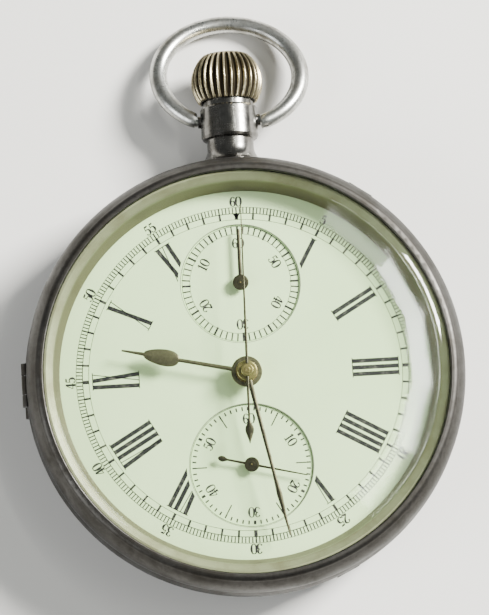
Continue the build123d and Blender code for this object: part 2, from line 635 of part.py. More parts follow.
def pallet_fork():
    toward_balance = math.degrees(math.atan2(BALANCE[0] - ESCAPE[0], BALANCE[1] - ESCAPE[1]))
    stones = [polar(2.95, toward_balance + side * 31, ESCAPE) for side in (-1, 1)]
    body = strip([stones[0], PALLET, stones[1]], (0.22, 0.35, 0.22), FORK_Z)
    body += strip([PALLET, toward(BALANCE, PALLET, 1.35)], (0.3, 0.2), FORK_Z)
    tip = toward(BALANCE, PALLET, 0.85)
    side_step = polar(0.28, toward_balance + 90)
    for sign in (-1, 1):
        horn = (tip[0] + sign * side_step[0], tip[1] + sign * side_step[1])
        body += strip([toward(BALANCE, PALLET, 1.35), horn], (0.16, 0.09), FORK_Z)
    return body + arbor(PALLET, (0.18, 5.8, 6.4), (0.12, 5.52, 7.35))


def pallet_bridge():
    direction = math.degrees(math.atan2(BALANCE[0] - ESCAPE[0], BALANCE[1] - ESCAPE[1]))
    feet = [polar(2.3, direction + side * 90, PALLET) for side in (-1, 1)]
    body = strip([feet[0], PALLET, feet[1]], (0.6, 0.45, 0.6), (5.48, 5.72))
    for foot in feet:
        body += disc(0.6, (5.48, PLATE_Z[0]), foot)
    return body - disc(0.14, (5, 6), PALLET)


def balance_wheel():
    rim = tube(6.3, 5.75, (4.9, 5.35), BALANCE)
    rim += slab(Rectangle(11.8, 0.7), (4.95, 5.2), BALANCE) + disc(0.75, (4.9, 5.25), BALANCE)
    for i in range(14):
        angle = 360 * (i + 0.5) / 14
        screw = Rot(0, 0, angle) * (Pos(6.3, 0, 5.12) * Cylinder(0.2, 0.4, rotation=(0, 90, 0)))
        rim += Pos(BALANCE[0], BALANCE[1], 0) * screw
    rim += arbor(BALANCE, (0.2, 4.5, 6.4), (0.42, 4.52, 4.9), (0.13, 3.8, 7.3), (0.75, 5.56, 5.76))
    return rim + disc(0.09, (5.76, 6.06), toward(BALANCE, PALLET, 0.5))


def hairspring():
    return spiral(0.52, 2.8, 9, 0.07, (4.56, 4.8), BALANCE)


def balance_cock():
    body = strip([BALANCE, COCK_FOOT], (2.1, 1.6), (3.6, 4.4))
    body += disc(1.5, (4.4, PLATE_Z[0]), COCK_FOOT)
    return body - disc(0.5, (3, 5), BALANCE)


def regulator():
    """The index on the balance cock."""
    ring = tube(1.3, 0.75, (3.35, 3.58), BALANCE)
    return ring + strip([polar(1.1, 320, BALANCE), polar(3.4, 320, BALANCE)], (0.25, 0.1), (3.35, 3.58))


# ---------------------------------------------------------------- plates, bridges, jewels and screws
BRIDGE_R = 20.2
BRIDGE_SCREWS = [
    (-18.6, 1.2), (18.6, 1.2), (-12.5, 13.9), (13.2, 13.3), (5.0, -18.4), (17.3, -7.6), COCK_FOOT]
CASE_SCREWS = [polar(21.3, 75), polar(21.3, 255)]
JEWEL_R = 0.55
PLATE_JEWELS = [THIRD, FOURTH, ESCAPE, PALLET, BALANCE, RECORDER]
TRAIN_JEWELS = [THIRD, FOURTH, ESCAPE]
HOLE_R = {THIRD: 0.15, FOURTH: 0.23, ESCAPE: 0.15, PALLET: 0.15, BALANCE: 0.16, RECORDER: 0.23}
STEM_SLOT = block((-2.2, 2.2), (15.2, 20.9), (3.5, 7.75))


def main_plate():
    low, high = PLATE_Z
    body = disc(21.8, (low, high)) + tube(22.5, 20.9, (high, DIAL_TOP_Z - DIAL_T))
    body -= STEM_SLOT
    body -= disc(0.66, (6, 8))
    body -= disc(0.58, (6, 8), BARREL)
    body += disc(0.31, (high, 8.2), MINUTE_WHEEL)
    for place in PLATE_JEWELS:
        body -= disc(JEWEL_R, (6, 8), place)
    for clock in (58, 182, 302):
        body -= disc(0.45, (6, 9), polar(19.4, clock))
    for place in (SETTING_PIVOT, YOKE_PIVOT):
        body += disc(0.4, (high, 8.0), place)
    return body


def bridge_region(y_low, y_high, x_low=-30):
    region = disc(BRIDGE_R, BRIDGE_Z) & block((x_low, 30), (y_low, y_high), (0, 9))
    rim = tube(BRIDGE_R, 18.9, (BRIDGE_Z[1], PLATE_Z[0])) & block((x_low, 30), (y_low, y_high), (0, 9))
    return region + rim


def posts(places, z_range, radius=0.4):
    return Part() + [disc(radius, z_range, place) for place in places]


def barrel_bridge():
    body = bridge_region(-1.4, 30)
    body -= STEM_SLOT
    body -= disc(0.66, (3, 5))
    body -= disc(1.05, (3, 5), BARREL)
    body -= disc(JEWEL_R, (3, 5), RECORDER)
    body -= along_stem(disc(1.2, (15, 22)))
    body += disc(1.2, (2.95, 3.6), CROWN_WHEEL)
    body += posts([HAMMER_PIVOT, COLUMN_WHEEL, OPERATING_PIVOT], (2.15, 3.6))
    body += posts([BRAKE_PIVOT], (2.4, 3.6))
    return body + posts([CLICK_PIVOT], (2.8, 3.6))


def train_bridge():
    body = bridge_region(-30, -1.6, -6.6)
    body -= strip([BALANCE, COCK_FOOT], (2.35, 1.85), (3, 7))
    body = body.solids().sort_by(SortBy.VOLUME)[-1]
    for place in TRAIN_JEWELS:
        body -= disc(JEWEL_R, (3, 5), place)
    return body


def chronograph_bridge():
    """The bridge over the chronograph wheels at the centre and the minute recorder."""
    low, mid = 1.8, 2.15
    body = strip([CHRONO_FEET[0], CENTRE, RECORDER, CHRONO_FEET[1]], (1.0, 0.8, 0.8, 1.0), (low, mid))
    body += posts(CHRONO_FEET, (mid, BRIDGE_Z[0]), 0.8)
    return body - disc(0.2, (1, 3)) - disc(0.2, (1, 3), RECORDER)


def jewels():
    rings = [tube(JEWEL_R, HOLE_R[p], (7.0, 7.4), p) for p in PLATE_JEWELS]
    rings += [tube(JEWEL_R, HOLE_R[p], (3.65, 4.05), p) for p in TRAIN_JEWELS]
    rings += [tube(0.5, HOLE_R[BALANCE], (3.7, 4.1), BALANCE), tube(JEWEL_R, 0.23, (3.65, 4.05), RECORDER)]
    return Compound(children=[ring.solid() for ring in rings])


def screw(place, head_low, head_r, shank_r, shank_high):
    head = disc(head_r, (head_low, head_low + 0.4), place)
    x, y = place
    head -= block((x - 1, x + 1), (y - 0.1, y + 0.1), (head_low - 1, head_low + 0.18))
    return (head + disc(shank_r, (head_low + 0.4, shank_high), place)).solid()


def bridge_screws():
    return [screw(place, 3.2, 0.75, 0.4, 7.2) for place in BRIDGE_SCREWS]


def case_screws():
    return [screw(place, 6.3, 1.05, 0.35, 7.3) for place in CASE_SCREWS]


# ---------------------------------------------------------------- keyless works
CLICK_PIVOT = polar(10.4, 125.0, BARREL)
CLICK_TIP = (BARREL[0] + 8.62 * math.cos(math.radians(-20)), BARREL[1] + 8.62 * math.sin(math.radians(-20)))


def winding_pinion():
    return along_stem(slab(tooth_ring(16, 0.235, 0), (19.1, 20.4)) - disc(0.66, (19, 21)))


def sliding_pinion():
    body = turned(
        (0, 16.2), (1.3, 16.2), (1.3, 17.0), (0.95, 17.1), (0.95, 17.8), (1.3, 17.9), (1.3, 18.9), (0, 18.9))
    return along_stem(body - Pos(0, 0, 17.5) * Box(0.95, 0.95, 4))


def crown_wheel():
    body = pinion(CROWN_TEETH, RATCHET_MODULE, RATCHET_Z, CROWN_WHEEL, CROWN_PHASE)
    return body - disc(1.25, (2, 4), CROWN_WHEEL)


def ratchet_wheel():
    body = pinion(RATCHET_TEETH, RATCHET_MODULE, RATCHET_Z, BARREL, 0.0)
    return body - disc(1.0, (2, 4), BARREL)


def click():
    body = strip([CLICK_PIVOT, CLICK_TIP], (1.0, 0.18), (2.98, 3.4))
    return body - disc(0.43, (2, 4), CLICK_PIVOT)


def click_spring():
    return strip([(18.6, 6.2), (18.3, 3.0), (17.1, 0.9)], (0.5, 0.16, 0.12), (2.98, 3.6))


def setting_lever():
    body = strip([SETTING_PIVOT, (2.9, 18.3)], (0.8, 0.35), (7.55, 7.85))
    body += strip([SETTING_PIVOT, (6.6, 14.8)], (0.8, 0.3), (7.55, 7.85))
    return body - disc(0.43, (7, 9), SETTING_PIVOT)


def yoke():
    body = strip([YOKE_PIVOT, (-3.4, 16.6), (0.0, 17.45)], (0.75, 0.4, 0.3), (7.55, 7.85))
    body += disc(0.2, (6.98, 7.6), (0.0, 17.45))
    return body - disc(0.43, (7, 9), YOKE_PIVOT)


# ---------------------------------------------------------------- chronograph works
def chrono_runner():
    body = wheel(CHRONO_TEETH, CHRONO_MODULE, CHRONO_Z, CENTRE, 0.0)
    body += heart(LEVER_Z, CENTRE, -45.0)
    return body + arbor(CENTRE, (0.3, 2.3, 12.45), (0.17, 1.9, 2.4), (0.5, 2.4, 2.7))


def recorder_wheel():
    body = wheel(RECORDER_TEETH, RECORDER_MODULE, CHRONO_Z, RECORDER, 0.0)
    body += heart(LEVER_Z, RECORDER, 230.0)
    return body + arbor(RECORDER, (0.2, 2.3, 9.8), (0.17, 1.9, 2.4), (0.5, 2.4, 2.7))


def column_wheel():
    body = pinion(18, 0.25, (2.3, 2.6), COLUMN_WHEEL, 0.0)
    for i in range(6):
        body += disc(0.42, (2.6, 3.35), polar(1.45, 60 * i, COLUMN_WHEEL))
    return body - disc(0.43, (2, 4), COLUMN_WHEEL)


def operating_lever():
    body = strip([(-0.9, 19.4), OPERATING_PIVOT, (-13.4, 12.9)], (0.5, 0.9, 0.3), (2.3, 2.55))
    return body - disc(0.43, (2, 4), OPERATING_PIVOT)


def clutch_lever():
    line = [FOURTH, COUPLING, (-8.6, -4.3), (-9.0, 1.5), (-8.3, 6.6)]
    body = strip(line, (0.9, 0.7, 0.5, 0.4, 0.3), CLUTCH_Z)
    body -= disc(0.45, (2, 4), FOURTH)
    return body + disc(0.3, (2.45, 2.95), COUPLING)


def coupling_wheel():
    face = tooth_ring(COUPLING_TEETH, CHRONO_MODULE, COUPLING_PHASE) - Circle(0.33)
    return slab(face, CHRONO_Z, COUPLING)


def reset_hammer():
    to_centre = toward(CENTRE, HAMMER_PIVOT, 2.2)
    to_recorder = toward(RECORDER, HAMMER_PIVOT, 2.2)
    body = strip([to_centre, HAMMER_PIVOT, to_recorder], (0.35, 0.8, 0.35), LEVER_Z)
    body += strip([HAMMER_PIVOT, (-9.3, 8.0)], (0.6, 0.3), LEVER_Z)
    return body - disc(0.43, (2, 4), HAMMER_PIVOT)


def brake_lever():
    body = strip([(-4.78, 0.9), BRAKE_PIVOT, (-11.0, 6.3)], (0.25, 0.8, 0.3), CHRONO_Z)
    return body - disc(0.43, (2, 4), BRAKE_PIVOT)


# ---------------------------------------------------------------- assembly
def build():
    band = mid_case()
    screws = bridge_screws()
    dogs = case_screws()
    plate = main_plate() - screws - dogs
    nodes = {
        "mid_case": band,
        "back_cover": back_cover(),
        "cuvette": cuvette(),
        "bezel": bezel(),
        "reflector_ring": reflector_ring(),
        "crystal": crystal(),
        "hinge_pins": hinge_pins(),
        "pendant": pendant(band),
        "pendant_screw": pendant_screw(),
        "bow": bow(),
        "crown": crown(),
        "pendant_sleeve": pendant_sleeve(),
        "winding_stem": winding_stem(),
        "dial": main_dial(),
        "recorder_subdial": subdial(RECORDER_R, RECORDER),
        "seconds_subdial": subdial(SECONDS_R, FOURTH),
        "hour_hand": hour_hand(),
        "minute_hand": minute_hand(),
        "chrono_hand": chrono_hand(),
        "recorder_hand": recorder_hand(),
        "seconds_hand": seconds_hand(),
        "cannon_pinion": cannon_pinion(),
        "minute_wheel": minute_wheel(),
        "hour_wheel": hour_wheel(),
        "main_plate": plate,
        "barrel": barrel(),
        "barrel_arbor": barrel_arbor(),
        "mainspring": mainspring(),
        "centre_wheel": centre_wheel(),
        "third_wheel": third_wheel(),
        "fourth_wheel": fourth_wheel(),
        "escape_wheel": escape_wheel(),
        "pallet_fork": pallet_fork(),
        "pallet_bridge": pallet_bridge(),
        "balance_wheel": balance_wheel(),
        "hairspring": hairspring(),
        "balance_cock": balance_cock() - screws,
        "regulator": regulator(),
        "barrel_bridge": barrel_bridge() - screws,
        "train_bridge": train_bridge() - screws,
        "chronograph_bridge": chronograph_bridge(),
        "jewels": jewels(),
        "bridge_screws": Compound(children=screws),
        "case_screws": Compound(children=dogs),
        "winding_pinion": winding_pinion(),
        "sliding_pinion": sliding_pinion(),
        "crown_wheel": crown_wheel(),
        "ratchet_wheel": ratchet_wheel(),
        "click": click(),
        "click_spring": click_spring(),
        "setting_lever": setting_lever(),
        "yoke": yoke(),
        "chrono_runner": chrono_runner(),
        "recorder_wheel": recorder_wheel(),
        "column_wheel": column_wheel(),
        "operating_lever": operating_lever(),
        "clutch_lever": clutch_lever(),
        "coupling_wheel": coupling_wheel(),
        "reset_hammer": reset_hammer(),
        "brake_lever": brake_lever(),
    }
    os.makedirs("parts", exist_ok=True)
    for name, body in nodes.items():
        export_step(body, f"parts/{name}.step")


build()
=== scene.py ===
import json
import math

import bpy
from mathutils import Matrix, Vector


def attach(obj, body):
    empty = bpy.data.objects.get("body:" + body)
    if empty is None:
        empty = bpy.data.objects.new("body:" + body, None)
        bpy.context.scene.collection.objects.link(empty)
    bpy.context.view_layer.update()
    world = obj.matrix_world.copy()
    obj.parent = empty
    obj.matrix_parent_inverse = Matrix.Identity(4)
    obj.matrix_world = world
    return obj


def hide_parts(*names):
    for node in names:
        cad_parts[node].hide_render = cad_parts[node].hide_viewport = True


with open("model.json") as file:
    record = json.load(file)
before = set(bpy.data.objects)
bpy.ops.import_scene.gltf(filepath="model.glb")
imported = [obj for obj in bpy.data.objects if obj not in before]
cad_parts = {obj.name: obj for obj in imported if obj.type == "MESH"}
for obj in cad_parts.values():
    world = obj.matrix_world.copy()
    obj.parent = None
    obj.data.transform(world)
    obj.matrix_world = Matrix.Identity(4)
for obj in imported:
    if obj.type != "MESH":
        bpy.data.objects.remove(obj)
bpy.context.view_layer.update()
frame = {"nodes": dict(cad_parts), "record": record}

MM = 0.001              # lengths below are in millimetres, Blender's are in metres
NODES = frame["nodes"]
STEM_Z = 5.6            # height of the axis of stem, crown and bow pivots
CENTRE, RECORDER, SECONDS = (0.0, 0.0), (0.0, 11.0), (0.0, -11.0)
DIAL_Z, SUNK_Z = 9.0, 8.72      # tops of the main dial and of the two small dials
INK_T = 0.012
DIAL_R = 22.5
RECORDER_R, SECONDS_R = 7.2, 7.4
# The inner, middle and outer circles of the main track, and the middle of the figures outside it.
TRACK = 18.8
TRACK_MIDDLE, TRACK_OUTER, FIGURES_R = TRACK * 1.04, TRACK * 1.08, TRACK * 1.1175
ARROW_DEG = 1.35        # half width of the arrow at sixty
LEDGE_FROM_Z, LEDGE_FULL_Z = 11.4, 12.2     # where the gilt ring turns from the painted shade of the wall to the ledge, painted paler as lit
GLASS_MIRROR = 0.04     # share of light that glass mirrors when seen square on
# Where the hands stand in the photo, in degrees clockwise from twelve.
HOUR_CLOCK, MINUTE_CLOCK, CHRONO_CLOCK, SECONDS_CLOCK, RECORDER_CLOCK = 282.7, 168.8, 1.2, 104.0, 0.6


# ---------------------------------------------------------------- materials
class Paint:
    """A material built node by node on object coordinates, which are the row frame in metres."""

    def __init__(self, name, **sockets):
        self.material = bpy.data.materials.new(name)
        self.material.use_nodes = True
        self.tree = self.material.node_tree
        self.tree.nodes.clear()
        self.out = self.tree.nodes.new("ShaderNodeOutputMaterial")
        self.shader = self.tree.nodes.new("ShaderNodeBsdfPrincipled")
        self.tree.links.new(self.shader.outputs[0], self.out.inputs["Surface"])
        self.place = self.tree.nodes.new("ShaderNodeTexCoord").outputs["Object"]
        for key, value in sockets.items():
            self.shader.inputs[key.replace("_", " ")].default_value = value

    def link(self, source, socket):
        self.tree.links.new(source, self.shader.inputs[socket])

    def stretched(self, scale, turn=(0, 0, 0)):
        mapping = self.tree.nodes.new("ShaderNodeMapping")
        mapping.inputs["Scale"].default_value = scale
        mapping.inputs["Rotation"].default_value = turn
        self.tree.links.new(self.place, mapping.inputs["Vector"])
        return mapping.outputs[0]

    def noise(self, scale, detail=4.0, rough=0.55, place=None, distortion=0.0):
        node = self.tree.nodes.new("ShaderNodeTexNoise")
        node.inputs["Scale"].default_value = scale
        node.inputs["Detail"].default_value = detail
        node.inputs["Roughness"].default_value = rough
        node.inputs["Distortion"].default_value = distortion
        self.tree.links.new(place or self.place, node.inputs["Vector"])
        return node.outputs["Fac"]

    def ramp(self, source, *stops):
        node = self.tree.nodes.new("ShaderNodeValToRGB")
        while len(node.color_ramp.elements) < len(stops):
            node.color_ramp.elements.new(0.5)
        for element, (position, colour) in zip(node.color_ramp.elements, stops):
            element.position = position
            element.color = (*colour, 1.0) if isinstance(colour, tuple) else (colour, colour, colour, 1.0)
        self.tree.links.new(source, node.inputs["Fac"])
        return node.outputs["Color"]

    def span(self, source, low, high, from_low=0.0, from_high=1.0):
        node = self.tree.nodes.new("ShaderNodeMapRange")
        for key, value in (("From Min", from_low), ("From Max", from_high),
                           ("To Min", low), ("To Max", high)):
            node.inputs[key].default_value = value
        self.tree.links.new(source, node.inputs["Value"])
        return node.outputs[0]

    def mix(self, share, first, second):
        """One colour changing into another. A share, or a colour, is a value or a socket."""
        node = self.tree.nodes.new("ShaderNodeMix")
        node.data_type = "RGBA"
        sockets = (node.inputs["Factor"], node.inputs[6], node.inputs[7])
        for value, socket in zip((share, first, second), sockets):
            if isinstance(value, bpy.types.NodeSocket):
                self.tree.links.new(value, socket)
            else:
                socket.default_value = (*value, 1.0) if isinstance(value, tuple) else value
        return node.outputs[2]

    def math(self, operation, first, second=0.0):
        node = self.tree.nodes.new("ShaderNodeMath")
        node.operation = operation
        for value, socket in ((first, node.inputs[0]), (second, node.inputs[1])):
            if isinstance(value, bpy.types.NodeSocket):
                self.tree.links.new(value, socket)
            else:
                socket.default_value = value
        return node.outputs[0]

    def axis(self, which):
        """One coordinate in millimetres."""
        node = self.tree.nodes.new("ShaderNodeSeparateXYZ")
        self.tree.links.new(self.place, node.inputs[0])
        return self.math("MULTIPLY", node.outputs[which], 1 / MM)

    def radius(self):
        """Distance in millimetres from the vertical axis through the middle of the dial."""
        x, y = self.axis("X"), self.axis("Y")
        return self.math("SQRT", self.math("ADD", self.math("MULTIPLY", x, x), self.math("MULTIPLY", y, y)))

    def rings(self, source, per_mm):
        """Fine turned lines as a value from 0 to 1, from a distance in millimetres."""
        node = self.tree.nodes.new("ShaderNodeTexNoise")
        node.noise_dimensions = "1D"
        node.inputs["Scale"].default_value = per_mm
        node.inputs["Detail"].default_value = 3.0
        self.tree.links.new(source, node.inputs["W"])
        return self.span(node.outputs["Fac"], 0.0, 1.0, 0.3, 0.7)

    def bump(self, height, strength, distance_mm):
        node = self.tree.nodes.new("ShaderNodeBump")
        node.inputs["Strength"].default_value = strength
        node.inputs["Distance"].default_value = distance_mm * MM
        self.tree.links.new(height, node.inputs["Height"])
        self.link(node.outputs[0], "Normal")
        return self


def worn_metal(name, clean, dirty, rough, grain, scratch):
    """A metal with cloudy tarnish, fine scratches both ways and a slightly uneven polish."""
    paint = Paint(name, Metallic=1.0)
    cloud = paint.noise(grain, 7.0, 0.62, distortion=0.4)
    speck = paint.noise(grain * 9, 3.0, 0.6)
    along = paint.noise(1.0, 2.0, 0.5, paint.stretched((900, 9000, 900), (0.2, 0.1, 0.5)))
    across = paint.noise(1.0, 2.0, 0.5, paint.stretched((8000, 700, 1200), (0.1, 0.3, 0.9)))
    patch = paint.ramp(cloud, (0.42, 0.0), (0.68, 1.0))
    colour = paint.mix(patch, clean, dirty)
    pits = tuple(c * 0.6 for c in dirty)
    colour = paint.mix(paint.span(speck, 0.0, 0.5, 0.45, 0.8), colour, pits)
    paint.link(colour, "Base Color")
    streak = paint.math("ADD", paint.math("MULTIPLY", along, 0.5), paint.math("MULTIPLY", across, 0.5))
    mixed = paint.math("ADD", paint.math("MULTIPLY", cloud, 0.6), paint.math("MULTIPLY", streak, 0.4))
    paint.link(paint.span(mixed, rough[0], rough[1], 0.38, 0.62), "Roughness")
    return paint.bump(streak, scratch, 0.02).material


def enamel():
    """Fired enamel: pale cream green, glassy, with a faint cloud, tiny pits and painted shade darkening its
    rim.
    """
    paint = Paint("enamel_fired", Roughness=0.16, Coat_Weight=0.35, Coat_Roughness=0.06)
    cloud = paint.noise(70.0, 5.0, 0.6)
    speck = paint.ramp(paint.noise(2600.0, 2.0, 0.5), (0.70, 0.0), (0.78, 1.0))
    colour = paint.mix(paint.span(cloud, 0.0, 1.0, 0.35, 0.65), (0.60, 0.775, 0.45), (0.64, 0.81, 0.485))
    # painted shade: the enamel darkens over its outer 0.9 mm, under the bezel wall
    edge = paint.span(paint.radius(), 0.0, 1.0, DIAL_R - 0.9, DIAL_R)
    colour = paint.mix(paint.math("MULTIPLY", edge, 0.12), colour, (0.48, 0.47, 0.33))
    colour = paint.mix(paint.math("MULTIPLY", speck, 0.25), colour, (0.42, 0.40, 0.30))
    paint.link(colour, "Base Color")
    paint.link(paint.span(cloud, 0.13, 0.22), "Roughness")
    return paint.bump(paint.noise(420.0, 3.0, 0.5), 0.05, 0.02).material


def ink(name, solid, thin):
    """Printing fired into the enamel, thin in places; the same paint in grey-olive also makes the painted
    shade around the small dials.
    """
    paint = Paint(name, Coat_Weight=0.3, Coat_Roughness=0.08)
    wear = paint.noise(1900.0, 3.0, 0.6)
    paint.link(paint.mix(paint.span(wear, 0.0, 1.0, 0.5, 0.78), solid, thin), "Base Color")
    paint.link(paint.span(wear, 0.22, 0.42), "Roughness")
    return paint.bump(wear, 0.05, 0.01).material


def gilt_wall():
    """Dull gilding with turned lines, painted paler as lit on the ledge under the glass and painted in shade
    on the wall below.
    """
    paint = Paint("gilt_ring_turned", Metallic=0.55)
    height = paint.axis("Z")
    lines = paint.rings(paint.math("ADD", height, paint.radius()), 14.0)
    cloud = paint.noise(330.0, 6.0, 0.6)
    # painted light and shade: the wall below is painted darker as in shade, the ledge above paler as lit
    ledge = paint.span(height, 0.0, 1.0, LEDGE_FROM_Z, LEDGE_FULL_Z)
    colour = paint.mix(ledge, (0.116, 0.098, 0.060), (0.255, 0.262, 0.170))
    colour = paint.mix(paint.span(cloud, 0.0, 0.55, 0.42, 0.7), colour, (0.12, 0.10, 0.05))
    paint.link(colour, "Base Color")
    paint.link(paint.span(lines, 0.42, 0.58), "Roughness")
    return paint.bump(lines, 0.25, 0.02).material


def crystal_glass():
    """Clear glass: what passes straight through, and the reflection that grows to the edge."""
    paint = Paint("crystal_clear")
    tree = paint.tree
    clear = tree.nodes.new("ShaderNodeBsdfTransparent")
    gloss = tree.nodes.new("ShaderNodeBsdfGlossy")
    blend = tree.nodes.new("ShaderNodeMixShader")
    facing = tree.nodes.new("ShaderNodeLayerWeight")
    facing.inputs["Blend"].default_value = 0.5
    grazing = paint.math("POWER", facing.outputs["Facing"], 5.0)
    mirrored = paint.math("ADD", paint.math("MULTIPLY", grazing, 1 - GLASS_MIRROR), GLASS_MIRROR)
    smear = paint.noise(55.0, 5.0, 0.6)
    hair = paint.noise(1.0, 2.0, 0.5, paint.stretched((600, 9000, 600), (0, 0, 0.7)))
    tint = paint.mix(paint.span(smear, 0.0, 1.0), (0.95, 0.97, 0.93), (0.985, 0.99, 0.97))
    tree.links.new(tint, clear.inputs["Color"])
    tree.links.new(paint.span(smear, 0.03, 0.07, 0.35, 0.75), gloss.inputs["Roughness"])
    bump = tree.nodes.new("ShaderNodeBump")
    bump.inputs["Strength"].default_value = 0.02
    bump.inputs["Distance"].default_value = 0.02 * MM
    tree.links.new(hair, bump.inputs["Height"])
    tree.links.new(bump.outputs[0], gloss.inputs["Normal"])
    tree.links.new(mirrored, blend.inputs["Fac"])
    tree.links.new(clear.outputs[0], blend.inputs[1])
    tree.links.new(gloss.outputs[0], blend.inputs[2])
    tree.links.new(blend.outputs[0], paint.out.inputs["Surface"])
    tree.nodes.remove(paint.shader)
    return paint.material


def ruby():
    paint = Paint("ruby_polished", Transmission_Weight=0.6, IOR=1.76)
    cloud = paint.noise(900.0, 3.0, 0.5)
    paint.link(paint.mix(cloud, (0.45, 0.01, 0.05), (0.75, 0.06, 0.16)), "Base Color")
    paint.link(paint.span(cloud, 0.03, 0.10), "Roughness")
    return paint.bump(cloud, 0.02, 0.01).material


def frosted_gilt():
    """Plates and bridges: a fine gilt grain, darkened where it has aged."""
    paint = Paint("gilt_frosted", Metallic=1.0)
    grain = paint.noise(5200.0, 4.0, 0.7)
    cloud = paint.noise(150.0, 6.0, 0.6)
    colour = paint.mix(paint.span(cloud, 0.0, 1.0, 0.35, 0.7), (0.80, 0.60, 0.30), (0.62, 0.42, 0.17))
    colour = paint.mix(paint.span(grain, 0.0, 0.45, 0.5, 0.75), colour, (0.42, 0.29, 0.12))
    paint.link(colour, "Base Color")
    paint.link(paint.span(grain, 0.32, 0.52, 0.35, 0.65), "Roughness")
    return paint.bump(grain, 0.35, 0.02).material


def wheel_brass():
    paint = Paint("brass_wheels", Metallic=1.0)
    cloud = paint.noise(420.0, 5.0, 0.6)
    grain = paint.noise(1.0, 3.0, 0.6, paint.stretched((1500, 12000, 1500), (0, 0, 0.3)))
    aged = paint.span(cloud, 0.0, 1.0, 0.35, 0.7)
    paint.link(paint.mix(aged, (0.83, 0.66, 0.34), (0.60, 0.44, 0.19)), "Base Color")
    paint.link(paint.span(grain, 0.18, 0.36, 0.35, 0.65), "Roughness")
    return paint.bump(grain, 0.12, 0.01).material


def crown_gold():
    """Worn gilt on the ribs; dirt together with painted shade, near black, down in the flutes and underneath,
    from the rib value stored on the mesh.
    """
    paint = Paint("crown_gilt_ribbed", Metallic=1.0)
    stored = paint.tree.nodes.new("ShaderNodeAttribute")
    stored.attribute_name = "rib"
    rib = stored.outputs["Fac"]
    cloud = paint.noise(520.0, 6.0, 0.62)
    speck = paint.noise(3800.0, 3.0, 0.6)
    gilt = paint.mix(paint.span(cloud, 0.0, 1.0, 0.36, 0.66), (0.52, 0.46, 0.30), (0.30, 0.25, 0.15))
    shade = paint.math("ADD", rib, paint.span(speck, -0.14, 0.14, 0.3, 0.7))
    # the flutes and the underside go near black: dirt together with painted shade
    clean = paint.ramp(shade, (0.42, 0.0), (0.88, 1.0))
    paint.link(paint.mix(clean, (0.020, 0.016, 0.010), gilt), "Base Color")
    paint.link(paint.span(shade, 0.62, 0.27, 0.2, 0.85), "Roughness")
    return paint.bump(speck, 0.12, 0.03).material


def floor_paint():
    paint = Paint("floor_pale", Roughness=0.75)
    cloud = paint.noise(14.0, 5.0, 0.6)
    paint.link(paint.mix(cloud, (0.60, 0.585, 0.56), (0.64, 0.625, 0.60)), "Base Color")
    return paint.bump(paint.noise(900.0, 3.0, 0.6), 0.05, 0.05).material


FINISH = {
    "case_silver": worn_metal("silver_tarnished", (0.060, 0.057, 0.053), (0.031, 0.028, 0.023),
                              rough=(0.38, 0.54), grain=210.0, scratch=0.16),
    "neck_steel": worn_metal("nickel_polished", (0.185, 0.180, 0.170), (0.072, 0.066, 0.057),
                             rough=(0.17, 0.32), grain=300.0, scratch=0.12),
    "bow_silver": worn_metal("silver_bow", (0.56, 0.565, 0.54), (0.22, 0.21, 0.185),
                             rough=(0.24, 0.40), grain=330.0, scratch=0.14),
    "blued_steel": worn_metal("steel_blued", (0.10, 0.11, 0.19), (0.06, 0.055, 0.08),
                              rough=(0.18, 0.30), grain=500.0, scratch=0.08),
    "polished_steel": worn_metal("steel_polished", (0.62, 0.62, 0.63), (0.40, 0.38, 0.36),
                                 rough=(0.16, 0.32), grain=420.0, scratch=0.12),
    "hand_steel": worn_metal("steel_hands", (0.17, 0.162, 0.10), (0.08, 0.074, 0.048),
                             rough=(0.30, 0.46), grain=700.0, scratch=0.10),
    "crown_gilt": crown_gold(),
    "gilt_ring": gilt_wall(),
    "glass": crystal_glass(),
    "enamel": enamel(),
    "ruby": ruby(),
    "gilt_brass": frosted_gilt(),
    "wheel_brass": wheel_brass(),
}
INK = ink("ink_black", (0.012, 0.012, 0.014), (0.10, 0.10, 0.085))
# grey-olive paint for the painted shade along the rims of the sunk small dials
RIM_SHADE = ink("enamel_rim_shade", (0.20, 0.205, 0.17), (0.34, 0.35, 0.28))
NEEDLE = worn_metal("steel_needles", (0.060, 0.056, 0.036), (0.030, 0.028, 0.020),
                    rough=(0.34, 0.50), grain=700.0, scratch=0.10)
BOSS = worn_metal("brass_boss", (0.37, 0.32, 0.135), (0.20, 0.165, 0.065),
                  rough=(0.26, 0.42), grain=900.0, scratch=0.12)


def paint_nodes():
    """Every CAD node takes the finish of its material slot."""
    for part in frame["record"]["subparts"]:
        node = NODES[part["node"]]
        node.data.materials.clear()
        node.data.materials.append(FINISH[part["material_slot"]])


# ---------------------------------------------------------------- mesh helpers
def piece(name, points, faces, material, body, slot=None, smooth_deg=38.0, stands_for=()):
    """A mesh piece from points in millimetres, riding on a CAD body."""
    mesh = bpy.data.meshes.new(name)
    mesh.from_pydata([tuple(c * MM for c in p) for p in points], [], faces)
    mesh.validate()
    mesh.update()
    made = bpy.data.objects.new(name, mesh)
    bpy.context.scene.collection.objects.link(made)
    mesh.materials.append(material)
    if smooth_deg:
        mesh.shade_smooth()
        mesh.set_sharp_from_angle(angle=math.radians(smooth_deg))
    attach(made, body)
    if stands_for:
        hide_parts(*stands_for)
    return made


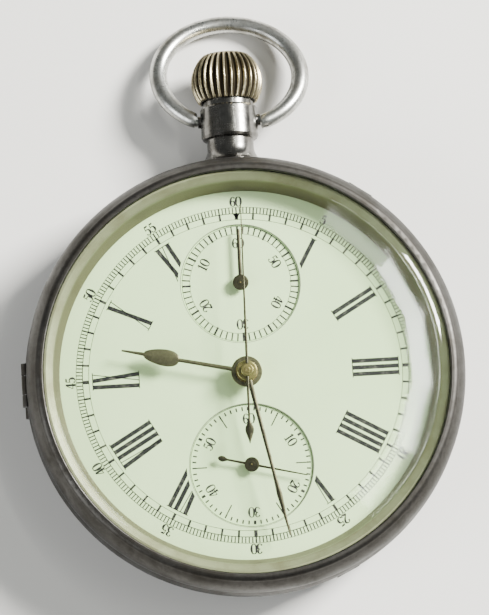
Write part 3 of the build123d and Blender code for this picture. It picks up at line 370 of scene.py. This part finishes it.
def softened(profile, steps=5):
    """A line of (a, b) or (a, b, cut) points with each cut corner rounded over that length."""
    line = []
    count = len(profile)
    for i, corner in enumerate(profile):
        if len(corner) == 2:
            line.append(corner)
            continue
        here = Vector(corner[:2])
        before = Vector(profile[(i - 1) % count][:2])
        after = Vector(profile[(i + 1) % count][:2])
        start = here + (before - here).normalized() * min(corner[2], (before - here).length / 2)
        end = here + (after - here).normalized() * min(corner[2], (after - here).length / 2)
        for k in range(steps + 1):
            t = k / steps
            line.append(tuple(start * (1 - t) ** 2 + here * 2 * t * (1 - t) + end * t ** 2))
    return line


def grid_faces(rows, columns, wrap_rows=False):
    """Faces of a grid of points whose rows are closed loops, and whose last row may meet the first."""
    faces = []
    for i in range(rows if wrap_rows else rows - 1):
        for j in range(columns):
            a, b = i, (i + 1) % rows
            c, d = j, (j + 1) % columns
            faces.append((a * columns + c, a * columns + d, b * columns + d, b * columns + c))
    return faces


def lathe(profile, segments, centre):
    """Points and faces of a turned ring about a vertical axis, from an anticlockwise (r, z) profile."""
    points = []
    for r, z in profile:
        for j in range(segments):
            turn = 2 * math.pi * j / segments
            points.append((centre[0] + r * math.cos(turn), centre[1] + r * math.sin(turn), z))
    return points, grid_faces(len(profile), segments, wrap_rows=True)


def clock_point(radius, clock, centre=CENTRE):
    """The point at a radius in the direction of a clock angle, in degrees clockwise from twelve."""
    turn = math.radians(clock)
    return (centre[0] + radius * math.sin(turn), centre[1] + radius * math.cos(turn))


class Print:
    """Flat ink shapes collected into one thin raised mesh."""

    def __init__(self, z, thickness=INK_T):
        self.z, self.t = z, thickness
        self.points, self.faces = [], []

    def shape(self, outline):
        """A flat polygon, whichever way round it is given."""
        area = sum(a[0] * b[1] - b[0] * a[1] for a, b in zip(outline, outline[1:] + outline[:1]))
        if area < 0:
            outline = outline[::-1]
        start, count = len(self.points), len(outline)
        self.points += [(x, y, self.z) for x, y in outline]
        self.points += [(x, y, self.z + self.t) for x, y in outline]
        self.faces.append(tuple(range(start + count, start + 2 * count)))
        for i in range(count):
            j = (i + 1) % count
            self.faces.append((start + i, start + j, start + count + j, start + count + i))

    def ring(self, radius, width, centre=CENTRE, steps=360):
        """A thin printed circle."""
        inner, outer = radius - width / 2, radius + width / 2
        for i in range(steps):
            a, b = 360 * i / steps, 360 * (i + 1) / steps
            self.shape([clock_point(inner, a, centre), clock_point(outer, a, centre),
                        clock_point(outer, b, centre), clock_point(inner, b, centre)])

    def tick(self, clock, low, high, width, centre=CENTRE):
        """A radial mark of even width."""
        turn = math.radians(clock)
        side = (math.cos(turn), -math.sin(turn))
        a, b = clock_point(low, clock, centre), clock_point(high, clock, centre)
        self.shape([(a[0] - side[0] * width / 2, a[1] - side[1] * width / 2),
                    (b[0] - side[0] * width / 2, b[1] - side[1] * width / 2),
                    (b[0] + side[0] * width / 2, b[1] + side[1] * width / 2),
                    (a[0] + side[0] * width / 2, a[1] + side[1] * width / 2)])

    def ribbon(self, line, placed):
        """A stroke through (x, y, width) points, put on the dial by placed(x, y)."""
        left, right = [], []
        for i, (x, y, width) in enumerate(line):
            before, after = line[max(i - 1, 0)], line[min(i + 1, len(line) - 1)]
            dx, dy = after[0] - before[0], after[1] - before[1]
            span = math.hypot(dx, dy) or 1.0
            off = (-dy / span * width / 2, dx / span * width / 2)
            left.append(placed(x + off[0], y + off[1]))
            right.append(placed(x - off[0], y - off[1]))
        for i in range(len(line) - 1):
            self.shape([left[i], right[i], right[i + 1], left[i + 1]])

    def piece(self, name, material=INK):
        """The collected shapes as one piece on the case body."""
        return piece(name, self.points, self.faces, material, "case", "enamel", smooth_deg=0)


def curved(knots, steps=7):
    """A smooth line through (x, y, width) knots."""
    line = []
    count = len(knots)
    for i in range(count - 1):
        p0, p1 = knots[max(i - 1, 0)], knots[i]
        p2, p3 = knots[i + 1], knots[min(i + 2, count - 1)]
        for k in range(steps):
            t = k / steps
            line.append(tuple(
                0.5 * (2 * b + (c - a) * t + (2 * a - 5 * b + 4 * c - d) * t * t
                       + (3 * b - a - 3 * c + d) * t ** 3)
                for a, b, c, d in zip(p0, p1, p2, p3)))
    line.append(tuple(knots[-1]))
    return line


FIGURE_HEIGHT = 1.22
THINNEST = 0.07         # thinnest stroke, as a share of the figure height
# Old-style printed figures on a box 1 high: strokes as (x, y, width), thin where the pen turns.
FIGURES = {
    "0": [[(0.0, 0.97, 0.05), (-0.17, 0.88, 0.10), (-0.245, 0.5, 0.17), (-0.17, 0.12, 0.10),
           (0.0, 0.03, 0.05), (0.17, 0.12, 0.10), (0.245, 0.5, 0.17), (0.17, 0.88, 0.10), (0.0, 0.97, 0.05)]],
    "1": [[(0.02, 0.98, 0.15), (0.02, 0.5, 0.15), (0.02, 0.03, 0.15)],
          [(-0.17, 0.025, 0.05), (0.21, 0.025, 0.05)],
          [(0.0, 0.95, 0.05), (-0.08, 0.86, 0.06), (-0.17, 0.80, 0.05)]],
    "2": [[(-0.20, 0.70, 0.14), (-0.19, 0.86, 0.07), (-0.02, 0.965, 0.06), (0.17, 0.86, 0.13),
           (0.19, 0.70, 0.15), (0.06, 0.44, 0.11), (-0.15, 0.20, 0.07), (-0.23, 0.06, 0.05)],
          [(-0.23, 0.07, 0.10), (-0.05, 0.10, 0.16), (0.12, 0.06, 0.13), (0.22, 0.09, 0.07),
           (0.25, 0.24, 0.04)]],
    "3": [[(-0.19, 0.80, 0.13), (-0.13, 0.93, 0.06), (0.0, 0.965, 0.06), (0.15, 0.86, 0.12),
           (0.15, 0.70, 0.13), (0.05, 0.56, 0.06), (-0.06, 0.53, 0.04)],
          [(-0.02, 0.54, 0.05), (0.14, 0.46, 0.12), (0.20, 0.27, 0.17), (0.12, 0.09, 0.11),
           (-0.03, 0.03, 0.06), (-0.17, 0.09, 0.07), (-0.21, 0.20, 0.14)]],
    "4": [[(0.07, 0.98, 0.06), (-0.10, 0.66, 0.05), (-0.26, 0.30, 0.05)],
          [(-0.27, 0.28, 0.06), (0.25, 0.28, 0.06)],
          [(0.09, 0.97, 0.14), (0.09, 0.5, 0.15), (0.09, 0.04, 0.15)],
          [(-0.07, 0.025, 0.05), (0.23, 0.025, 0.05)]],
    "5": [[(-0.14, 0.95, 0.05), (-0.16, 0.72, 0.05), (-0.18, 0.52, 0.05)],
          [(-0.14, 0.93, 0.08), (0.03, 0.90, 0.13), (0.18, 0.96, 0.06)],
          [(-0.18, 0.52, 0.04), (-0.03, 0.61, 0.06), (0.14, 0.53, 0.12), (0.20, 0.33, 0.17),
           (0.13, 0.11, 0.11), (-0.03, 0.03, 0.06), (-0.17, 0.08, 0.07), (-0.21, 0.19, 0.14)]],
    "6": [[(0.19, 0.82, 0.13), (0.13, 0.93, 0.06), (0.01, 0.965, 0.05), (-0.14, 0.83, 0.11),
           (-0.215, 0.5, 0.17), (-0.17, 0.17, 0.12), (0.0, 0.03, 0.05), (0.16, 0.13, 0.11),
           (0.20, 0.30, 0.15), (0.14, 0.47, 0.11), (0.0, 0.55, 0.05), (-0.13, 0.47, 0.05),
           (-0.20, 0.34, 0.06)]],
}


def figures(ink_print, text, clock, radius, advance, weight, centre=CENTRE):
    """A number whose feet point to the centre, its middle height at the radius."""
    turn = math.radians(clock)
    middle = clock_point(radius, clock, centre)
    across, up = (math.cos(turn), -math.sin(turn)), (math.sin(turn), math.cos(turn))
    for i, digit in enumerate(text):
        shift = (i - (len(text) - 1) / 2) * advance

        def placed(x, y, shift=shift):
            a, b = (x + shift) * FIGURE_HEIGHT, (y - 0.5) * FIGURE_HEIGHT
            return (middle[0] + across[0] * a + up[0] * b, middle[1] + across[1] * a + up[1] * b)

        for stroke in FIGURES[digit]:
            inked = [(x, y, max(width * weight, THINNEST)) for x, y, width in stroke]
            ink_print.ribbon(curved(inked), placed)


ROMAN_LOW, ROMAN_HIGH = 12.8, 18.35     # radii of the feet and tops of the hour numerals
BAR, HAIR = 0.49, 0.10                  # thick and thin strokes
PITCH, V_SPAN, X_SPAN = 0.80, 1.2, 1.35     # room taken by an I, a V and an X
BAR_IN = 0.36           # middle of a thick stroke from the side of its letter
SMALL_DIAL_GAP = 0.32   # bare enamel kept around the small dials


def roman_strokes(text):
    """Strokes of a numeral as (x at the foot, x at the top, width), its serifs and its whole width."""
    x, strokes, serifs = 0.0, [], []
    for letter in text:
        if letter == "I":
            strokes.append((x + PITCH / 2, x + PITCH / 2, BAR))
            serifs.append((x + 0.02, x + PITCH - 0.02, "both"))
            x += PITCH
        elif letter == "V":
            strokes.append((x + V_SPAN / 2 + 0.1, x + BAR_IN, BAR))
            strokes.append((x + V_SPAN / 2 + 0.1, x + V_SPAN - 0.2, HAIR))
            serifs.append((x, x + V_SPAN, "top"))
            x += V_SPAN
        else:
            strokes.append((x + X_SPAN - BAR_IN, x + BAR_IN, BAR))
            strokes.append((x + 0.24, x + X_SPAN - 0.24, HAIR))
            serifs.append((x, x + X_SPAN, "both"))
            x += X_SPAN
    return strokes, serifs, x


def roman(ink_print, text, clock):
    """A radial hour numeral, feet to the centre, cut where a small dial crosses it."""
    strokes, serifs, total = roman_strokes(text)
    turn = math.radians(clock)
    across, up = (math.cos(turn), -math.sin(turn)), (math.sin(turn), math.cos(turn))
    cuts = [(RECORDER, RECORDER_R + SMALL_DIAL_GAP), (SECONDS, SECONDS_R + SMALL_DIAL_GAP)]

    def placed(x, r):
        return (across[0] * (x - total / 2) + up[0] * r, across[1] * (x - total / 2) + up[1] * r)

    def clear(point):
        return all(math.dist(point, centre) >= radius for centre, radius in cuts)

    def along(foot, top, off, share):
        return placed(foot + (top - foot) * share + off, ROMAN_LOW + (ROMAN_HIGH - ROMAN_LOW) * share)

    lanes, rows, serif_steps = 4, 120, 12
    for foot, top, width in strokes:
        for lane in range(lanes):
            offs = [width * (lane / lanes - 0.5), width * ((lane + 1) / lanes - 0.5)]
            first = []
            for off in offs:
                row = 0
                while row < rows and not clear(along(foot, top, off, row / rows)):
                    row += 1
                first.append(row / rows)
            if min(first) >= 1:
                continue
            corners = [along(foot, top, off, share) for off, share in zip(offs, first)]
            ends = [placed(top + off, ROMAN_HIGH) for off in offs]
            ink_print.shape([corners[0], corners[1], ends[1], ends[0]])
    for start, end, where in serifs:
        for r in ([ROMAN_HIGH] if where == "top" else [ROMAN_LOW, ROMAN_HIGH]):
            for k in range(serif_steps):
                a = start + (end - start) * k / serif_steps
                b = start + (end - start) * (k + 1) / serif_steps
                if clear(placed(a, r)) and clear(placed(b, r)):
                    ink_print.shape([placed(a, r - HAIR / 2), placed(b, r - HAIR / 2),
                                     placed(b, r + HAIR / 2), placed(a, r + HAIR / 2)])


def dial_print():
    """Chapter ring, seconds figures and hour numerals of the main dial."""
    printed = Print(DIAL_Z)
    for radius, width in ((TRACK, 0.05), (TRACK_MIDDLE, 0.085), (TRACK_OUTER, 0.05)):
        printed.ring(radius, width)
    for second in range(60):
        heavy = 0.42 if second % 15 == 0 else (0.30 if second % 5 == 0 else 0.24)
        printed.tick(second * 6, TRACK, TRACK_MIDDLE, heavy)
        for fifth in range(5):
            printed.tick(second * 6 + fifth * 1.2, TRACK_MIDDLE, TRACK_OUTER, 0.17 if fifth == 0 else 0.13)
    for minute in range(5, 65, 5):
        figures(printed, str(minute), minute * 6, FIGURES_R, advance=0.56, weight=1.35)
    printed.shape([clock_point(TRACK_MIDDLE, -ARROW_DEG), clock_point(TRACK + 0.05, 0),
                   clock_point(TRACK_MIDDLE, ARROW_DEG)])
    for hour, text in ((1, "I"), (2, "II"), (3, "III"), (4, "IIII"), (5, "V"), (7, "VII"), (8, "VIII"),
                       (9, "IX"), (10, "X"), (11, "XI")):
        roman(printed, text, hour * 30)
    return printed.piece("dial_print")


def recorder_print():
    """The small upper dial: sixty minutes, counted anticlockwise."""
    printed = Print(SUNK_Z)
    track_outer = RECORDER_R * 0.975
    printed.ring(track_outer, 0.05, RECORDER, 180)
    printed.ring(RECORDER_R * 0.845, 0.04, RECORDER, 180)
    for minute in range(60):
        heavy = minute % 5 == 0
        printed.tick(minute * 6, RECORDER_R * (0.83 if heavy else 0.85), track_outer,
                     0.24 if heavy else 0.16, RECORDER)
    for minute in range(10, 70, 10):
        figures(printed, str(minute), -minute * 6, RECORDER_R * 0.69, 0.57, 1.15, RECORDER)
    return printed.piece("recorder_print")


def seconds_print():
    """The small lower dial: running seconds with a beaded track."""
    printed = Print(SUNK_Z)
    printed.ring(SECONDS_R * 0.985, 0.06, SECONDS, 180)
    for second in range(60):
        heavy = second % 10 == 0
        printed.tick(second * 6, SECONDS_R * 0.893, SECONDS_R * 0.955, 0.30 if heavy else 0.17, SECONDS)
    for second in range(5, 60, 10):
        printed.tick(second * 6, SECONDS_R * 0.72, SECONDS_R * 0.90, 0.13, SECONDS)
    for second in range(10, 70, 10):
        figures(printed, str(second), second * 6, SECONDS_R * 0.76, 0.57, 1.15, SECONDS)
    return printed.piece("seconds_print")


# ---------------------------------------------------------------- crown, bow and hands
CROWN_Y, CROWN_R, CROWN_TOP, CROWN_LOW = 36.6, 4.37, 3.35, 2.48
CROWN_RIBS = 30
FLUTE_DEPTH = 0.46
SLEEVE_R, SLEEVE_Y, HUB_R, HUB_Y = 3.2, -1.4, 2.6, -2.38    # the hollow underneath, around the sleeve
CROWN_BORE_R = 0.9


def crown_shape():
    """The ribbed onion crown with its flat top, closed underneath around the sleeve."""
    top_r = math.sqrt(CROWN_R ** 2 - CROWN_TOP ** 2)
    outline_points = [(0.0, CROWN_TOP - 0.06), (1.0, CROWN_TOP - 0.05), (top_r - 0.35, CROWN_TOP - 0.02)]
    caps = len(outline_points)
    low_turn, high_turn = -math.asin(CROWN_LOW / CROWN_R), math.asin(CROWN_TOP / CROWN_R)
    steps = 44
    for i in range(steps + 1):
        turn = high_turn + (low_turn - high_turn) * i / steps
        outline_points.append((CROWN_R * math.cos(turn), CROWN_R * math.sin(turn)))
    outline_points += [(SLEEVE_R, -CROWN_LOW), (SLEEVE_R, SLEEVE_Y), (HUB_R, SLEEVE_Y), (HUB_R, HUB_Y),
                       (CROWN_BORE_R, HUB_Y)]
    count = CROWN_RIBS * 14
    points, ribs = [], []
    for k, (r, y) in enumerate(outline_points):
        share = (k - caps) / steps
        fluted = 1.0 if 0 <= share <= 1 else 0.0
        fluted *= min(1.0, max(0.0, share) * 7 + 0.3) * (1.0 - 0.45 * max(0.0, share) ** 6)
        for j in range(count):
            turn = 2 * math.pi * j / count
            wave = 0.5 + 0.5 * math.cos(CROWN_RIBS * turn)
            rib = wave ** 1.7
            deep = FLUTE_DEPTH * (1 - rib) * fluted
            radius = max(r - deep, 0.0)
            points.append((radius * math.cos(turn), CROWN_Y + y, STEM_Z + radius * math.sin(turn)))
            # rib value: 1 on the crests and the top, low in the flutes, 0.30 underneath, where crown_gold
            # paints dirt and shade
            ribs.append(0.30 if share > 1 else (1 - (1 - rib) * fluted if r > 1.2 else 1.0))
    faces = grid_faces(len(outline_points), count)
    made = piece("crown_ribbed", points, [f[::-1] for f in faces], FINISH["crown_gilt"], "crown",
                 "crown_gilt", smooth_deg=70, stands_for=("crown",))
    layer = made.data.attributes.new("rib", "FLOAT", "POINT")
    layer.data.foreach_set("value", ribs[:len(made.data.vertices)])
    return made


BOW_PIVOT_Y, BOW_HALF, BOW_HALF_HEIGHT, BOW_MIDDLE = 31.75, 8.75, 7.5, 6.6
BOW_WIRE_R, BOW_END_X, BOW_SKEW_DEG, BOW_TIP_DEG = 1.1, 3.86, 4.0, 18.6
BOW_INSIDE = 0.012      # the mesh lies this far inside the CAD wire
BOW_END_SHARE = 0.84    # thickness at the ends as a share of the wire
PIN_R = 0.45


def bow_shape():
    """The oval wire bow, thinner at its flat ends, askew on its pivots and tipped down onto the table."""
    steps, around = 180, 44
    start = math.asin((BOW_END_X + 0.05) / BOW_HALF) - math.pi / 2
    skew = Matrix.Rotation(math.radians(-BOW_SKEW_DEG), 3, "Z")
    path = []
    for i in range(steps + 1):
        turn = start + (math.pi - 2 * start) * i / steps
        oval = (BOW_HALF * math.cos(turn), BOW_MIDDLE + BOW_HALF_HEIGHT * math.sin(turn), 0)
        path.append(skew @ Vector(oval))
    points = []
    for i, here in enumerate(path):
        share = i / steps
        fullness = math.sin(math.pi * min(1, 5 * min(share, 1 - share)) / 2)
        top = math.exp(-((share - 0.5) / 0.16) ** 2)
        radius = (BOW_WIRE_R - BOW_INSIDE) * (BOW_END_SHARE + 0.16 * fullness - 0.05 * top)
        edge = min(i, steps - i)
        radius *= 1 - 0.12 * max(0, 1 - edge / 3) ** 2
        ahead = (path[min(i + 1, steps)] - path[max(i - 1, 0)]).normalized()
        side = Vector((ahead.y, -ahead.x, 0))
        blunt = max(0.0, 1 - edge / 30)
        for j in range(around):
            turn = 2 * math.pi * j / around
            place = here + side * radius * math.cos(turn) + Vector((0, 0, radius * math.sin(turn)))
            least = BOW_END_X + BOW_INSIDE + 0.02 * edge
            if place.x * here.x > 0 and abs(place.x) < least and blunt:
                place.x = math.copysign(least, place.x)
            points.append(place)
    faces = grid_faces(steps + 1, around)
    faces.append(tuple(range(around))[::-1])
    faces.append(tuple(range(steps * around, (steps + 1) * around)))
    pin = [(0.0, -1.4), (PIN_R, -1.4), (PIN_R, 0.3), (0.0, 0.3)]
    for side in (-1, 1):
        start, ring = len(points), 32
        for r, along in pin:
            for j in range(ring):
                turn = 2 * math.pi * j / ring
                points.append(Vector((side * (BOW_END_X + along), r * math.cos(turn), r * math.sin(turn))))
        for face in grid_faces(len(pin), ring):
            faces.append(tuple(start + v for v in (face if side > 0 else face[::-1])))
    tip = Matrix.Rotation(math.radians(-BOW_TIP_DEG), 3, "X")
    placed = [tip @ p + Vector((0, BOW_PIVOT_Y, STEM_Z)) for p in points]
    return piece("bow_wire", placed, faces, FINISH["bow_silver"], "bow", "neck_steel",
                 smooth_deg=50, stands_for=("bow",))


def finer(profile, step=0.25):
    """The same profile with more stations between its own."""
    line = []
    for (d0, w0), (d1, w1) in zip(profile, profile[1:]):
        count = max(1, int(abs(d1 - d0) / step))
        for k in range(count):
            t = k / count
            line.append((d0 + (d1 - d0) * t, w0 + (w1 - w0) * t))
    line.append(profile[-1])
    return line


HAND_LANES, HAND_CROWN = 8, 0.55    # facets across a hand, and how far its edges drop


def blade_mesh(profile, clock, low, high, centre):
    """A straight hand with a crowned top and square edges. The profile is (distance, half width)."""
    turn = math.radians(clock)
    across, up = (math.cos(turn), -math.sin(turn)), (math.sin(turn), math.cos(turn))
    stations = finer(profile)
    points = []
    columns = HAND_LANES + 3
    for distance, half in stations:
        thick = high - low
        row = [(-half, low)]
        for k in range(HAND_LANES + 1):
            s = 2 * k / HAND_LANES - 1
            row.append((half * s, low + thick * (1 - HAND_CROWN * s * s * min(1, half * 4))))
        row.append((half, low))
        for x, z in row:
            points.append((centre[0] + across[0] * x + up[0] * distance,
                           centre[1] + across[1] * x + up[1] * distance, z))
    faces = grid_faces(len(stations), columns)
    faces.append(tuple(range(columns)))
    faces.append(tuple(range((len(stations) - 1) * columns, len(stations) * columns))[::-1])
    return points, [f[::-1] for f in faces]


def merged(*meshes):
    """Several (points, faces) as one."""
    points, faces = [], []
    for more_points, more_faces in meshes:
        start = len(points)
        points += more_points
        faces += [tuple(start + v for v in f) for f in more_faces]
    return points, faces


def leaf_profile():
    """The pear leaf of the hour hand, and the thin stem each side of it."""
    middle, half_length, half_width, stem, steps = 10.3, 2.1, 0.98, 0.22, 28
    profile = [(1.0, 0.26), (8.15, stem)]
    for i in range(1, steps):
        turn = math.pi * i / steps
        fullness = math.sin(turn) * (1 + 0.28 * math.cos(turn))
        profile.append((middle - half_length * math.cos(turn), stem + (half_width - stem) * fullness))
    return profile + [(12.45, 0.2), (15.1, 0.10)]


def turned_boss(outer, low, high, centre, hole, cut=0.06):
    """A small turned disc with a hole and a softened top edge."""
    return lathe(softened([(hole, low), (outer, low), (outer, high, cut), (hole, high)]), 72, centre)


# Outlines of the straight hands as (distance from the arbor, half width).
MINUTE_PROFILE = [(0.9, 0.29), (4.0, 0.25), (12.8, 0.20), (14.2, 0.27), (15.2, 0.33), (16.2, 0.27),
                  (17.4, 0.2), (20.2, 0.08)]
CHRONO_PROFILE = [(-8.8, 0.03), (-8.4, 0.14), (-7.9, 0.32), (-7.45, 0.47), (-7.1, 0.52), (-6.8, 0.46),
                  (-6.4, 0.25), (-6.1, 0.15), (-5.8, 0.12), (0, 0.165), (19.9, 0.055)]
RECORDER_PROFILE = [(0.2, 0.24), (6.3, 0.205), (6.5, 0.17)]
SECONDS_PROFILE = [(-4.12, 0.05), (-4.0, 0.22), (-3.75, 0.34), (-3.45, 0.34), (-3.2, 0.22), (-3.0, 0.12),
                   (0, 0.15), (6.7, 0.06)]


def centre_hands():
    """Hour, minute and chronograph hands, from the dial up, with the brass bosses of the upper two."""
    hour = merged(blade_mesh(leaf_profile(), HOUR_CLOCK, 10.86, 11.0, CENTRE),
                  turned_boss(1.85, 10.82, 11.02, CENTRE, 1.32))
    piece("hour_hand_leaf", *hour, FINISH["hand_steel"], "hour_wheel", "hand_steel",
          stands_for=("hour_hand",))
    minute = blade_mesh(MINUTE_PROFILE, MINUTE_CLOCK, 11.46, 11.6, CENTRE)
    piece("minute_hand_leaf", *minute, NEEDLE, "centre_wheel", "hand_steel", stands_for=("minute_hand",))
    piece("minute_boss", *turned_boss(1.22, 11.42, 11.9, CENTRE, 0.56, 0.12), BOSS, "centre_wheel",
          "wheel_brass")
    chrono = blade_mesh(CHRONO_PROFILE, CHRONO_CLOCK, 12.24, 12.36, CENTRE)
    piece("chrono_hand_needle", *chrono, NEEDLE, "chrono_runner", "hand_steel", stands_for=("chrono_hand",))
    hub = merged(turned_boss(0.75, 12.12, 12.44, CENTRE, 0.30, 0.1),
                 turned_boss(0.36, 12.1, 12.5, CENTRE, 0.12, 0.05))
    piece("chrono_hub", *hub, BOSS, "chrono_runner", "wheel_brass")


def small_hands():
    for name, clock, profile, centre, outer, body, node in (
            ("recorder_hand_bar", RECORDER_CLOCK, RECORDER_PROFILE, RECORDER, 0.95,
             "recorder_wheel", "recorder_hand"),
            ("seconds_hand_needle", SECONDS_CLOCK, SECONDS_PROFILE, SECONDS, 0.88,
             "fourth_wheel", "seconds_hand")):
        shape = merged(blade_mesh(profile, clock, 9.62, 9.76, centre),
                       turned_boss(outer, 9.56, 9.8, centre, 0.34, 0.08),
                       turned_boss(0.38, 9.55, 9.85, centre, 0.1, 0.04))
        piece(name, *shape, NEEDLE, body, "hand_steel", stands_for=(node,))


def small_dial_edges():
    """A grey ring of painted shade along the edge where each small dial is let into the main dial."""
    for name, centre, radius in (("recorder_rim_shade", RECORDER, RECORDER_R),
                                 ("seconds_rim_shade", SECONDS, SECONDS_R)):
        printed = Print(DIAL_Z, 0.006)
        # painted shade: a thin grey ring just outside the rim of the small dial
        printed.ring(radius + 0.03, 0.07, centre, 240)
        printed.piece(name, RIM_SHADE)


# ---------------------------------------------------------------- stage, light and camera
# The camera's place and axes in the row frame, and its lens for a sensor 36 wide.
CAMERA_AT = (-17.83, -50.02, 364.09)
CAMERA_RIGHT = (0.9972923, -0.0610882, 0.0409417)
CAMERA_DOWN = (-0.0536158, -0.9850446, -0.1637450)
CAMERA_AHEAD = (0.0503323, 0.1611065, -0.9856528)
LENS = 175.6


def stage():
    """The pale table top that the watch lies on."""
    half = 900.0 * MM
    mesh = bpy.data.meshes.new("floor")
    mesh.from_pydata([(-half, -half, 0), (half, -half, 0), (half, half, 0), (-half, half, 0)], [],
                     [(0, 1, 2, 3)])
    floor = bpy.data.objects.new("floor", mesh)
    mesh.materials.append(floor_paint())
    bpy.context.scene.collection.objects.link(floor)


def area_light(name, at, aim, size, power, colour):
    """A rectangular lamp, placed, aimed and sized in millimetres."""
    lamp = bpy.data.lights.new(name, "AREA")
    lamp.shape = "RECTANGLE"
    lamp.size, lamp.size_y = size[0] * MM, size[1] * MM
    lamp.energy = power
    lamp.color = colour
    made = bpy.data.objects.new(name, lamp)
    made.location = [c * MM for c in at]
    made.rotation_euler = (Vector(aim) - Vector(at)).to_track_quat("-Z", "Y").to_euler()
    bpy.context.scene.collection.objects.link(made)
    return made


# An arc of small window panes overhead, whose image lies along the right edge of the glass.
PANEL_POWERS = {44: 0.05, 66: 0.25, 88: 0.31, 110: 0.25, 132: 0.09}
PANEL_CENTRE, PANEL_RING_R, PANEL_Z = (30.0, 94.0), 211.0, 585.0
PANEL_SIZE = (96, 17)
WATCH = (0, 0, 5)       # the point that the larger lamps aim at
ROOM_COLOUR, ROOM_STRENGTH = (0.40, 0.42, 0.41), 0.42


def lights():
    """A window light from the upper right, the arc of panes, a weak fill and an even grey room."""
    area_light("key", (452, 240, 400), WATCH, (200, 200), 24.0, (1.0, 1.0, 0.96))
    for clock, power in PANEL_POWERS.items():
        x, y = clock_point(PANEL_RING_R, clock, PANEL_CENTRE)
        panel = area_light("window_%d" % clock, (x, y, PANEL_Z), (x, y, 0), PANEL_SIZE, power,
                           (0.97, 1.0, 0.93))
        panel.rotation_euler = (0, 0, math.radians(-clock))
    area_light("room_fill", (-560, -230, 430), WATCH, (420, 420), 4.5, (0.95, 0.98, 1.0))
    world = bpy.data.worlds.new("room")
    world.use_nodes = True
    back = world.node_tree.nodes["Background"]
    back.inputs["Color"].default_value = (*ROOM_COLOUR, 1)
    back.inputs["Strength"].default_value = ROOM_STRENGTH
    bpy.context.scene.world = world


def camera():
    """The camera that took the photo: almost straight above, a little off to the lower left."""
    data = bpy.data.cameras.new("camera")
    data.sensor_width = 36.0
    data.lens = LENS
    data.clip_start = 0.01
    made = bpy.data.objects.new("camera", data)
    right, up, back = Vector(CAMERA_RIGHT), -Vector(CAMERA_DOWN), -Vector(CAMERA_AHEAD)
    turn = Matrix((right, up, back)).transposed()
    made.matrix_world = Matrix.Translation([c * MM for c in CAMERA_AT]) @ turn.to_4x4()
    bpy.context.scene.collection.objects.link(made)
    bpy.context.scene.camera = made


paint_nodes()
dial_print()
recorder_print()
seconds_print()
small_dial_edges()
crown_shape()
bow_shape()
centre_hands()
small_hands()
stage()
lights()
camera()
